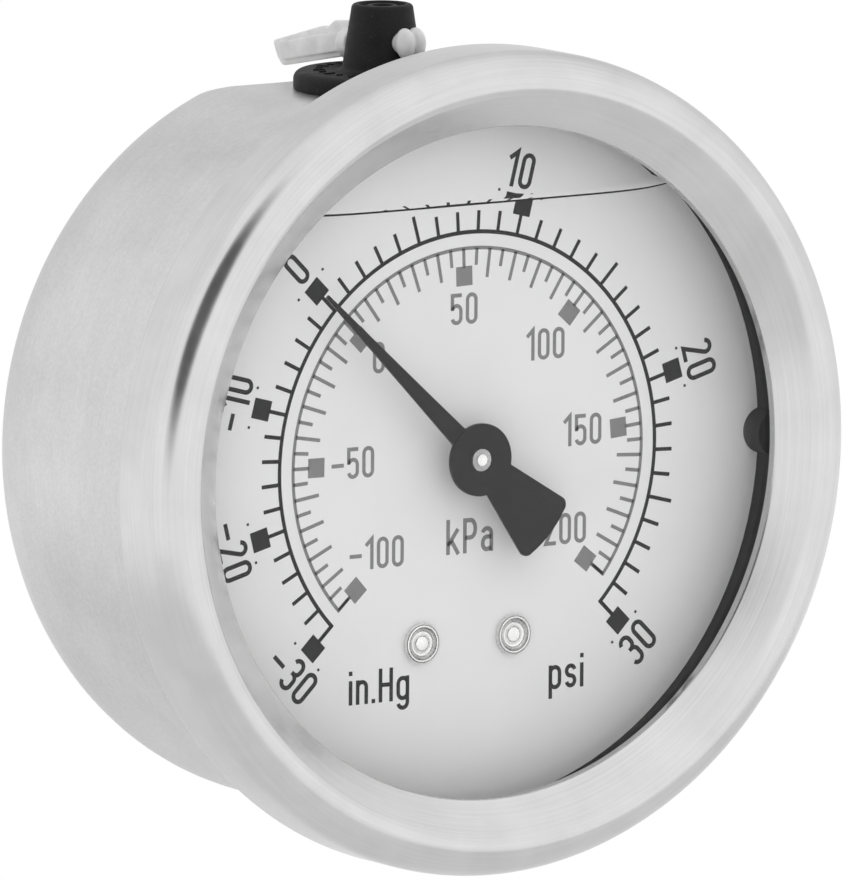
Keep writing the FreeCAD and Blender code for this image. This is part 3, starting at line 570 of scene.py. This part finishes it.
def liquid_surface(across, along):
    """The height of the liquid, with the rise where it wets the ring wall, the window and the dial."""
    reach = math.sqrt(GASKET_INNER ** 2 - LIQUID_LEVEL ** 2)
    level = LIQUID_LEVEL
    for (rise, fade), distance in (
        (WALL_RISE, max(0.0, reach - abs(across))),
        (WINDOW_RISE, along - LIQUID_FRONT),
        (DIAL_RISE, max(0.0, DIAL_FRONT - along)),
    ):
        level += rise * math.exp(-distance / fade)
    return level


def build_liquid():
    """The glycerine between window and dial: columns across the gauge, each from front to back."""
    column_count = 241
    depth_steps = 20
    shares = [0.5 - 0.5 * math.cos(math.pi * step / depth_steps) for step in range(depth_steps + 1)]
    stations = [LIQUID_FRONT + (LIQUID_BACK - LIQUID_FRONT) * share for share in shares]
    mesh_data = bmesh.new()
    upper = []
    lower = []
    for column in range(column_count):
        turn = math.radians(-89.5 + 179.0 * column / (column_count - 1))
        across = LIQUID_RADIUS * math.sin(turn)
        edge = LIQUID_RADIUS * math.cos(turn)
        upper.append([mesh_data.verts.new((across, along, min(edge, liquid_surface(across, along))))
                      for along in stations])
        lower.append([mesh_data.verts.new((across, along, -edge)) for along in stations])
    for skin in (upper, lower):
        for first, second in zip(skin, skin[1:]):
            join_rows(mesh_data, first, second)
    for end in (0, -1):
        join_rows(mesh_data, [column[end] for column in upper], [column[end] for column in lower])
        join_rows(mesh_data, upper[end], lower[end])
    liquid = make_object("glycerine_fill", mesh_data, MATERIALS["glycerine"])
    return finished(liquid, "case", "window_clear")


# --- Dial print ----------------------------------------------------------------------------------
STROKE = 0.125
SIDE = STROKE / 2
DIGIT_WIDTH = 0.45
BOWL = DIGIT_WIDTH / 2 - SIDE
MIDDLE = DIGIT_WIDTH / 2
X_HEIGHT = 0.72


def loop(top):
    """A closed round-ended ring from the baseline to a top, as in 0, p and g."""
    ring = arc((MIDDLE, top - SIDE - BOWL), (BOWL, BOWL), 0, 180)
    return ring + arc((MIDDLE, SIDE + BOWL), (BOWL, BOWL), 180, 360)


# Each glyph is its width, its open strokes and its closed rings, in parts of the numeral height.
GLYPHS = {
    "0": (DIGIT_WIDTH, [], [loop(1.0)]),
    "1": (0.32, [[(0.03, 0.76), (0.32 - SIDE, 0.97), (0.32 - SIDE, 0.0)]], []),
    "2": (DIGIT_WIDTH, [
        arc((MIDDLE, 1 - SIDE - BOWL), (BOWL, BOWL), 172, -28) + [(SIDE, SIDE), (DIGIT_WIDTH, SIDE)],
    ], []),
    "3": (DIGIT_WIDTH, [
        arc((MIDDLE, 1 - SIDE - BOWL), (BOWL, BOWL), 168, 0)
        + arc((MIDDLE, 0.53 + BOWL), (BOWL, BOWL), 0, -90) + [(MIDDLE - 0.06, 0.53)],
        [(MIDDLE - 0.06, 0.53)] + arc((MIDDLE, 0.53 - BOWL), (BOWL, BOWL), 90, 0)
        + arc((MIDDLE, SIDE + BOWL), (BOWL, BOWL), 0, -168),
    ], []),
    "5": (DIGIT_WIDTH, [
        [(DIGIT_WIDTH - 0.03, 1 - SIDE), (SIDE, 1 - SIDE), (SIDE, 0.46)],
        arc((MIDDLE, 0.61 - SIDE - BOWL + 0.06), (BOWL, BOWL), 165, 0)
        + arc((MIDDLE, SIDE + BOWL), (BOWL, BOWL), 0, -168),
    ], []),
    "-": (0.46, [[(0.0, 0.45), (0.46, 0.45)]], []),
    ".": (STROKE, [[(SIDE, 0.0), (SIDE, STROKE)]], []),
    "H": (0.50, [
        [(SIDE, 0.0), (SIDE, 1.0)],
        [(0.50 - SIDE, 0.0), (0.50 - SIDE, 1.0)],
        [(SIDE, 0.51), (0.50 - SIDE, 0.51)],
    ], []),
    "P": (0.48, [
        [(SIDE, 0.0), (SIDE, 1 - SIDE)] + arc((0.26, 0.69), (0.22 - SIDE, 0.31 - SIDE), 90, -90)
        + [(SIDE, 0.38 + SIDE)],
    ], []),
    "k": (0.45, [
        [(SIDE, 0.0), (SIDE, 1.0)],
        [(0.40, X_HEIGHT), (SIDE, 0.26)],
        [(0.17, 0.40), (0.42, 0.0)],
    ], []),
    "a": (0.43, [
        arc((0.215, X_HEIGHT - SIDE - 0.15), (0.15, 0.15), 165, 0) + [(0.365, 0.0)],
        [(0.365, 0.42)] + arc((0.21, 0.24), (0.14, 0.18), 90, 270) + [(0.365, 0.11)],
    ], []),
    "i": (STROKE, [[(SIDE, 0.0), (SIDE, X_HEIGHT)], [(SIDE, 0.87), (SIDE, 1.0)]], []),
    "n": (0.43, [
        [(SIDE, 0.0), (SIDE, X_HEIGHT)],
        arc((0.215, X_HEIGHT - SIDE - 0.15), (0.15, 0.15), 180, 0) + [(0.365, 0.0)],
    ], []),
    "g": (DIGIT_WIDTH, [
        [(DIGIT_WIDTH - SIDE, X_HEIGHT), (DIGIT_WIDTH - SIDE, -0.06)]
        + arc((MIDDLE, -0.06), (BOWL, BOWL), 0, -168),
    ], [loop(X_HEIGHT)]),
    "p": (DIGIT_WIDTH, [[(SIDE, X_HEIGHT), (SIDE, -0.27)]], [loop(X_HEIGHT)]),
    "s": (0.42, [
        arc((0.21, 0.511), (0.145, 0.148), 12, 270) + arc((0.21, 0.215), (0.145, 0.148), 90, -168),
    ], []),
}
GLYPH_GAP = 0.125


def ribbon_sides(points, width, closed):
    """The two edges of a band of even width along a line, with mitred corners."""
    count = len(points)
    left = []
    right = []
    for index, point in enumerate(points):
        before = points[index - 1] if closed or index else None
        after = points[(index + 1) % count] if closed or index < count - 1 else None
        into = (point - before).normalized() if before is not None else (after - point).normalized()
        out = (after - point).normalized() if after is not None else into
        normal = Vector((-into.y - out.y, into.x + out.x)).normalized()
        reach = width / 2 / max(0.4, normal.dot(Vector((-out.y, out.x))))
        left.append(point + normal * reach)
        right.append(point - normal * reach)
    return left, right


INK_DEPTH = 0.012
INK_ROOT = 0.004


def add_ribbon(mesh_data, line, width, closed=False):
    """A thin solid band on the dial's face, along a line of (x, z) points."""
    points = []
    for point in map(Vector, line):
        if not points or (point - points[-1]).length > 1e-4:
            points.append(point)
    if closed and (points[0] - points[-1]).length < 1e-4:
        points.pop()
    stations = []
    for left, right in zip(*ribbon_sides(points, width, closed)):
        stations.append([mesh_data.verts.new((place.x, along, place.y)) for place, along in (
            (left, DIAL_FRONT - INK_DEPTH), (right, DIAL_FRONT - INK_DEPTH),
            (right, DIAL_FRONT + INK_ROOT), (left, DIAL_FRONT + INK_ROOT),
        )])
    pairs = list(zip(stations, stations[1:]))
    if closed:
        pairs.append((stations[-1], stations[0]))
    for first, second in pairs:
        join_rows(mesh_data, first, second, around=True)
    if not closed:
        mesh_data.faces.new(stations[0])
        mesh_data.faces.new(stations[-1])


def add_text(mesh_data, text, centre, height, turn=0.0):
    """A word or number centred on a place of the dial, its top turned clockwise by the angle."""
    width = sum(GLYPHS[letter][0] for letter in text) + GLYPH_GAP * (len(text) - 1)
    angle = math.radians(turn)
    right = Vector((math.cos(angle), -math.sin(angle)))
    up = Vector((math.sin(angle), math.cos(angle)))
    start = -width / 2
    for letter in text:
        glyph_width, strokes, rings = GLYPHS[letter]
        for lines, closed in ((strokes, False), (rings, True)):
            for line in lines:
                placed = [Vector(centre) + right * (start + x) * height + up * (z - 0.5) * height
                          for x, z in line]
                add_ribbon(mesh_data, placed, STROKE * height, closed)
        start += glyph_width + GLYPH_GAP


def on_dial(radius, angle):
    """A place on the dial, by the angle in degrees clockwise from the top."""
    turn = math.radians(angle)
    return Vector((radius * math.sin(turn), radius * math.cos(turn)))


SCALE_START = -133.8
SCALE_SWEEP = 268.3
LOWEST_PSI = -14.7346
HIGHEST_PSI = 30.0
PSI_PER_INHG = 0.491154
PSI_PER_KPA = 0.1450377


def angle_at(psi):
    share = (psi - LOWEST_PSI) / (HIGHEST_PSI - LOWEST_PSI)
    return SCALE_START + SCALE_SWEEP * share


def add_tick(mesh_data, angle, start, finish, width):
    add_ribbon(mesh_data, [on_dial(start, angle), on_dial(finish, angle)], width)


def add_arc_line(mesh_data, radius, first, last, width, closing):
    """The scale's arc, turned at both ends into the end ticks, which reach to the closing radius."""
    steps = 180
    line = [on_dial(closing, first)]
    line += [on_dial(radius, first + (last - first) * step / steps) for step in range(steps + 1)]
    line.append(on_dial(closing, last))
    add_ribbon(mesh_data, line, width)


def build_outer_scale():
    """The black scale: vacuum in inches of mercury below zero, pressure in psi above."""
    arc_radius = 18.6
    arc_width = 0.34
    line_width = 0.32
    end_of_tens = 20.4
    end_of_fives = 21.0
    end_of_ones = 20.35
    block_start, block_end, block_width = 20.25, 21.95, 1.7
    dot_start, dot_end, dot_width, dot_angle = 21.9, 22.12, 0.22, 4.3
    numeral_radius, numeral_height = 23.9, 3.0
    mesh_data = bmesh.new()
    add_arc_line(mesh_data, arc_radius, SCALE_START, angle_at(HIGHEST_PSI), arc_width, end_of_tens)
    readings = [(-value * PSI_PER_INHG, -value) for value in range(30, 0, -2)]
    readings += [(value, value) for value in range(0, 31)]
    numeral_centres = {}
    for psi, value in readings:
        angle = angle_at(psi)
        if value % 10 == 0:
            add_tick(mesh_data, angle, arc_radius, end_of_tens, line_width)
            add_tick(mesh_data, angle, block_start, block_end, block_width)
            numeral_centres[value] = angle
            for side in (-dot_angle, dot_angle):
                add_tick(mesh_data, angle + side, dot_start, dot_end, dot_width)
        elif value > 0 and value % 5 == 0:
            add_tick(mesh_data, angle, arc_radius, end_of_fives, line_width)
        else:
            add_tick(mesh_data, angle, arc_radius, end_of_ones, line_width)
    for value, angle in numeral_centres.items():
        upside_down = value in (-30, -20, 30)
        turn = angle + (180 if upside_down else 0)
        add_text(mesh_data, str(value), on_dial(numeral_radius, angle), numeral_height, turn)
    for unit, centre in (("in.Hg", (-8.7, -18.2)), ("psi", (9.9, -18.6))):
        add_text(mesh_data, unit, centre, 2.8)
    scale = make_object("outer_scale_print", mesh_data, MATERIALS["print_black"])
    return finished(scale, "case", "pointer_black")


def build_inner_scale():
    """The grey scale, in kilopascals, whose ticks point inwards."""
    arc_radius = 17.27
    line_width = 0.3
    closing_radius = 15.9
    end_of_fifties = 15.7
    end_of_tens = 14.85
    end_of_fives = 15.85
    block_start, block_end, block_width = 15.8, 14.2, 1.6
    numeral_height = 2.6
    lowest, highest = -100, 200
    mesh_data = bmesh.new()
    add_arc_line(mesh_data, arc_radius, angle_at(lowest * PSI_PER_KPA), angle_at(highest * PSI_PER_KPA),
                 line_width, closing_radius)
    for value in range(lowest, highest + 1, 5):
        angle = angle_at(value * PSI_PER_KPA)
        if value % 50 == 0:
            add_tick(mesh_data, angle, arc_radius, end_of_fifties, line_width)
            add_tick(mesh_data, angle, block_start, block_end, block_width)
        else:
            end = end_of_tens if value % 10 == 0 else end_of_fives
            add_tick(mesh_data, angle, arc_radius, end, line_width)
    numerals = [
        ("-100", (-9.0, -7.2)), ("-50", (-11.4, 0.4)), ("0", (-8.9, 8.9)), ("50", (-0.5, 12.3)),
        ("100", (7.6, 8.8)), ("150", (11.35, 1.4)), ("200", (9.7, -6.7)),
    ]
    for text, centre in numerals:
        add_text(mesh_data, text, centre, numeral_height)
    add_text(mesh_data, "kPa", (0.2, -6.5), 2.9)
    scale = make_object("inner_scale_print", mesh_data, MATERIALS["print_grey"])
    return finished(scale, "case", "pointer_black")


# --- Dial screws ---------------------------------------------------------------------------------
def build_dial_screws():
    """Two round heads with a rolled rim, a dished middle and a small raised centre."""
    head_radius = 1.7
    shank_radius = 0.8
    rim = screws_low.y
    profile = outline([
        (0, DIAL_FRONT - 0.34),
        (0.62, DIAL_FRONT - 0.32, 0.2),
        (0.82, DIAL_FRONT - 0.10, 0.12),
        (1.08, DIAL_FRONT - 0.12, 0.2),
        (1.34, rim, 0.14),
        (1.56, rim, 0.16),
        (head_radius, DIAL_FRONT - 0.26, 0.2),
        (head_radius, DIAL_FRONT),
        (shank_radius, DIAL_FRONT),
        (shank_radius, screws_high.y),
        (0, screws_high.y),
    ], arc_steps=6)
    mesh_data = bmesh.new()
    height = (screws_low.z + screws_high.z) / 2
    for side in (screws_low.x + head_radius, screws_high.x - head_radius):
        axis = Matrix.Translation((side, 0, height)) @ GAUGE_AXIS
        add_turned(mesh_data, profile, axis, closed=False, segments=72)
    screws = make_object("dial_screw_heads", mesh_data, MATERIALS["screw_steel"])
    return finished(screws, "case", "screw_steel", "dial_screws")


# --- Fill plug and vent pin ----------------------------------------------------------------------
PIN_FRAME = Matrix.Translation((0, PLUG_STATION, PIN_HEIGHT)) @ Matrix.Rotation(-PIN_TILT, 4, "X")


def add_bar(mesh_data, centre, size, turn_about_z):
    """A small block with its centre and size in millimetres."""
    place = Matrix.Translation(centre) @ Matrix.Rotation(turn_about_z, 4, "Z")
    scale = Matrix.Diagonal((*size, 1))
    bmesh.ops.create_cube(mesh_data, size=1.0, matrix=place @ scale)


def build_fill_plug():
    """A moulded rubber plug: a flat flange with small raised ribs, and a tapered nipple with a ringed
    hollow on top and a cross hole for the vent pin."""
    neck = 4.4
    barb = neck + 0.7
    barb_top = LAND_HEIGHT - CASE_WALL
    plug_bottom = LAND_HEIGHT - 3.2
    flange_top = LAND_HEIGHT + 1.6
    nipple_base = 3.32
    nipple_top = 2.5
    groove_bottom = PLUG_TOP - 0.3
    ring_top = PLUG_TOP - 0.12
    dimple_bottom = PLUG_TOP - 0.38
    profile = outline([
        (0, plug_bottom),
        (neck - 0.8, plug_bottom, 0.3),
        (barb, LAND_HEIGHT - 1.6, 0.2),
        (barb, barb_top),
        (neck, barb_top),
        (neck, LAND_HEIGHT),
        (PLUG_FLANGE, LAND_HEIGHT, 0.15),
        (PLUG_FLANGE, flange_top - 0.12, 0.7),
        (nipple_base, flange_top - 0.05, 0.5),
        (nipple_top, PLUG_TOP, 0.35),
        (1.95, PLUG_TOP, 0.1),
        (1.85, groove_bottom, 0.08),
        (1.35, groove_bottom, 0.08),
        (1.25, ring_top, 0.06),
        (0.9, ring_top, 0.06),
        (0.8, dimple_bottom, 0.06),
        (0, dimple_bottom),
    ], arc_steps=6)
    axis = Matrix.Translation((0, PLUG_STATION, 0))
    plug = turned("fill_plug_body", profile, MATERIALS["black_rubber"], axis, closed=False, segments=160)
    drill_radius = PIN_RADIUS + 0.05
    drill_half_length = 7
    drill_profile = [(0, -drill_half_length), (drill_radius, -drill_half_length),
                     (drill_radius, drill_half_length), (0, drill_half_length)]
    drill = turned("pin_drill", drill_profile, MATERIALS["black_rubber"], PIN_FRAME @ GAUGE_AXIS,
                   closed=False, segments=64)
    hole = plug.modifiers.new("pin_hole", "BOOLEAN")
    hole.operation = "DIFFERENCE"
    hole.object = drill
    hole.solver = "EXACT"
    apply_modifiers(plug)
    plug.data.set_sharp_from_angle(angle=SHARP_ANGLE)
    bpy.data.objects.remove(drill)
    finished(plug, "case", "black_rubber", "fill_plug")
    build_plug_ribs(flange_top)


def build_plug_ribs(flange_top):
    """Small raised ribs round the plug's flange, alternately long and short."""
    rib_count = 26
    rib_radius = 5.2
    rib_sink = 0.06
    long_rib, short_rib = 1.0, 0.6
    rib_width, rib_height = 0.26, 0.2
    rib_data = bmesh.new()
    for index in range(rib_count):
        turn = 2 * math.pi * index / rib_count
        length = long_rib if index % 2 else short_rib
        middle = Vector((rib_radius * math.cos(turn), rib_radius * math.sin(turn) + PLUG_STATION,
                         flange_top - rib_sink))
        add_bar(rib_data, middle, (length, rib_width, rib_height), turn)
    ribs = make_object("fill_plug_ribs", rib_data, MATERIALS["black_rubber"])
    softened(ribs, 0.05)
    finished(ribs, "case", "black_rubber")


def softened(piece, width):
    """Round the piece's sharp edges."""
    bevel = piece.modifiers.new("bevel", "BEVEL")
    bevel.width = width * MM
    bevel.segments = 2
    bevel.limit_method = "ANGLE"
    apply_modifiers(piece)


def add_ball(mesh_data, centre, radii):
    """An egg in the pin's own frame: X across, Y back along the pin, Z up."""
    shape = PIN_FRAME @ Matrix.Translation(centre) @ Matrix.Diagonal((*radii, 1))
    bmesh.ops.create_uvsphere(mesh_data, u_segments=40, v_segments=24, radius=1.0, matrix=shape)


def build_vent_pin():
    """The nylon pin that shuts the plug: a split bulb in front, a shank, a collar, and a wedge-shaped
    blade to pull it by. Its lengths run back along the pin from the middle of the plug."""
    bulb_middle = -4.2
    collar_radius = 1.35
    collar_front = 3.6
    collar_back = 5.1
    blade_start = 4.2
    blade_half_thickness = 0.36
    spine_half_thickness = 0.7
    mesh_data = bmesh.new()
    for side, back in ((-0.55, bulb_middle), (0.62, bulb_middle + 0.15)):
        add_ball(mesh_data, (side, back, 0.0), (0.76, 0.98, 1.28))
    shank = outline([
        (0, bulb_middle), (PIN_RADIUS, bulb_middle), (PIN_RADIUS, collar_front),
        (collar_radius, collar_front), (collar_radius, collar_back, 0.3), (0, collar_back),
    ], arc_steps=4)
    add_turned(mesh_data, shank, PIN_FRAME @ GAUGE_AXIS, closed=False, segments=48)
    blade = outline([
        (blade_start, -0.95), (14.4, -1.85, 0.3), (15.1, -1.15, 0.15), (15.7, 0.25, 0.3),
        (8.3, 1.45, 0.3), (7.5, 1.3, 0.3), (6.4, 1.9, 0.4), (blade_start, 1.9, 0.3),
    ], arc_steps=4)
    add_plate(mesh_data, blade, blade_half_thickness)
    spine = outline([
        (blade_start, -0.5), (13.9, -1.35, 0.3), (14.6, 0.1, 0.3),
        (8.3, 0.75), (5.4, 0.9, 0.3), (blade_start, 0.9),
    ], arc_steps=4)
    add_plate(mesh_data, spine, spine_half_thickness)
    pin = make_object("vent_pin_body", mesh_data, MATERIALS["nylon"])
    remesh = pin.modifiers.new("remesh", "REMESH")
    remesh.mode = "VOXEL"
    remesh.voxel_size = 0.085 * MM
    smooth = pin.modifiers.new("smooth", "SMOOTH")
    smooth.iterations = 4
    smooth.factor = 0.5
    apply_modifiers(pin)
    return finished(pin, "vent_pin", "nylon", "vent_pin")


def add_plate(mesh_data, points, half_thickness):
    """A flat plate whose outline runs along the pin and up, standing across the pin's X."""
    faces = []
    for side in (-half_thickness, half_thickness):
        faces.append([mesh_data.verts.new(PIN_FRAME @ Vector((side, back, up))) for back, up in points])
        mesh_data.faces.new(faces[-1])
    join_rows(mesh_data, faces[0], faces[1], around=True)


# --- Threaded connection -------------------------------------------------------------------------
THREAD_PITCH = 25.4 / 18
THREAD_RADIUS = 6.858
THREAD_DEPTH = 1.05
THREAD_START = 0.4
RUN_OUT = 1.2
THREAD_END = box_of("socket")[1].y
END_CHAMFER = 1.1


def thread_radius(along, turn):
    """The thread's radius: a V form with flattened crests and roots, on a 1 in 16 taper."""
    phase = (along / THREAD_PITCH - turn / (2 * math.pi)) % 1.0
    height = 1.0 - abs(2 * phase - 1.0)
    depth = THREAD_DEPTH * min(1.0, max(0.0, (0.92 - height) / 0.84))
    fade = min(1.0, max(0.0, (along - THREAD_START) / RUN_OUT))
    taper = along / 32
    chamfer = max(0.0, along - (THREAD_END - END_CHAMFER)) * 0.9
    return THREAD_RADIUS - depth * fade - taper - chamfer


def build_socket():
    """The CAD socket with its plain stem cut off, and a threaded stem in its place. Both run a little
    past the shoulder, so that they overlap there."""
    cad_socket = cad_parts["socket"]
    mesh_data = bmesh.new()
    mesh_data.from_mesh(cad_socket.data)
    bmesh.ops.remove_doubles(mesh_data, verts=mesh_data.verts, dist=1e-7)
    bmesh.ops.scale(mesh_data, vec=(1 / MM, 1 / MM, 1 / MM), verts=mesh_data.verts)
    everything = mesh_data.verts[:] + mesh_data.edges[:] + mesh_data.faces[:]
    shoulder = 0.02
    cut = bmesh.ops.bisect_plane(mesh_data, geom=everything, plane_co=(0, shoulder, 0), plane_no=(0, 1, 0),
                                 clear_outer=True)
    rim = [edge for edge in cut["geom_cut"] if isinstance(edge, bmesh.types.BMEdge)]
    bmesh.ops.triangle_fill(mesh_data, edges=rim, use_beauty=True)

    segments = 144
    steps = 170
    turns = [2 * math.pi * index / segments for index in range(segments)]
    stem_start = -0.4
    bore_radius = 2.5
    bore_chamfer = 0.3
    bore_bottom = 2.0
    passage_radius = 1.2

    def ring(radius_at, along):
        """One ring of vertices, by a function that gives the radius at each turn."""
        spokes = [(turn, radius_at(turn)) for turn in turns]
        return [mesh_data.verts.new((radius * math.cos(turn), along, radius * math.sin(turn)))
                for turn, radius in spokes]

    rings = []
    for step in range(steps + 1):
        along = stem_start + (THREAD_END - stem_start) * step / steps
        rings.append(ring(lambda turn: thread_radius(max(0.0, along), turn), along))
    for radius, along in (
        (bore_radius + bore_chamfer, THREAD_END), (bore_radius, THREAD_END - bore_chamfer),
        (bore_radius, bore_bottom), (passage_radius, bore_bottom), (passage_radius, stem_start),
    ):
        rings.append(ring(lambda turn: radius, along))
    for first, second in zip(rings, rings[1:] + rings[:1]):
        join_rows(mesh_data, first, second, around=True)
    socket = make_object("threaded_socket", mesh_data, MATERIALS["brass"])
    return finished(socket, "case", "brass", "socket")


# --- Camera, light, floor ------------------------------------------------------------------------
TENT_BRIGHTNESS = 1.15
FLOOR_LEVEL = -150
FLOOR_RADIUS = 380
FLOOR_THICKNESS = 0.3


def add_camera():
    """A long lens aimed at the dial from the left and a little above. The roll is about its own axis."""
    azimuth = math.radians(-34.37)
    elevation = math.radians(8.41)
    roll = math.radians(0.35)
    back = Vector((
        math.sin(azimuth) * math.cos(elevation),
        -math.cos(azimuth) * math.cos(elevation),
        math.sin(elevation),
    ))
    target = Vector((-4.8, -38.0, 1.82)) * MM
    distance = 1.5
    picture_height = 71.87 * MM
    data = bpy.data.cameras.new("camera")
    data.sensor_width = 36
    data.lens = data.sensor_width * distance / picture_height
    data.clip_end = 20
    camera = bpy.data.objects.new("camera", data)
    camera.location = target + back * distance
    facing = back.to_track_quat("Z", "Y").to_matrix()
    camera.rotation_euler = (facing @ Matrix.Rotation(roll, 3, "Z")).to_euler()
    bpy.context.scene.collection.objects.link(camera)
    bpy.context.scene.camera = camera


def add_light():
    """A white tent: even light from all round, with a dark card beside the camera, which the bezel's
    rounded edge mirrors as a dark band, and a dimmer stretch behind the gauge."""
    world = bpy.data.worlds.new("studio")
    world.use_nodes = True
    bpy.context.scene.world = world
    tree = NodeTree(world.node_tree)
    direction = tree.node("TexCoord").outputs["Generated"]

    def patch(azimuth, elevation, half_width, half_height, softness, brightness):
        """An oval of the tent, by its middle and half sizes in degrees, at its own brightness."""
        aside_turn = Matrix.Rotation(math.radians(azimuth), 3, "Z")
        turn = aside_turn @ Matrix.Rotation(math.radians(-elevation), 3, "X")
        aside = tree.vector("DOT_PRODUCT", direction, turn @ Vector((1, 0, 0)))
        above = tree.vector("DOT_PRODUCT", direction, turn @ Vector((0, 0, 1)))
        ahead = tree.vector("DOT_PRODUCT", direction, turn @ Vector((0, -1, 0)))
        aside = tree.calculate("DIVIDE", aside, math.sin(math.radians(half_width)))
        above = tree.calculate("DIVIDE", above, math.sin(math.radians(half_height)))
        squares = tree.calculate("ADD", tree.calculate("MULTIPLY", aside, aside),
                                 tree.calculate("MULTIPLY", above, above))
        opposite = tree.calculate("MULTIPLY", tree.calculate("LESS_THAN", ahead, 0.0), 9.0)
        away = tree.calculate("ADD", tree.calculate("SQRT", squares), opposite)
        return tree.remap(away, 1 - softness, 1 + softness, brightness, 1.0, smooth=True)

    dark_card = patch(-63, 31, 25, 27, 0.25, 0.10)
    dim_back = patch(150, 20, 50, 40, 0.7, 0.70)
    level = tree.calculate("MULTIPLY", TENT_BRIGHTNESS, dark_card)
    level = tree.calculate("MULTIPLY", level, dim_back)
    seen = tree.node("LightPath").outputs["Is Camera Ray"]
    unseen = tree.calculate("SUBTRACT", 1.0, seen)
    level = tree.calculate("ADD", tree.calculate("MULTIPLY", level, unseen), seen)
    background = world.node_tree.nodes["Background"]
    tree.feed(background.inputs["Strength"], level)
    background.inputs["Color"].default_value = (1, 1, 1, 1)


def add_floor():
    profile = [(0, -FLOOR_THICKNESS), (FLOOR_RADIUS, -FLOOR_THICKNESS), (FLOOR_RADIUS, 0), (0, 0)]
    floor = turned("floor", profile, floor_paint(), axis=Matrix.Translation((0, 0, FLOOR_LEVEL)),
                   closed=False, segments=96)


build_case()
build_bezel()
build_liquid()
build_outer_scale()
build_inner_scale()
build_dial_screws()
build_fill_plug()
build_vent_pin()
build_socket()
add_camera()
add_light()
add_floor()

bpy.context.scene.view_settings.view_transform = "Standard"
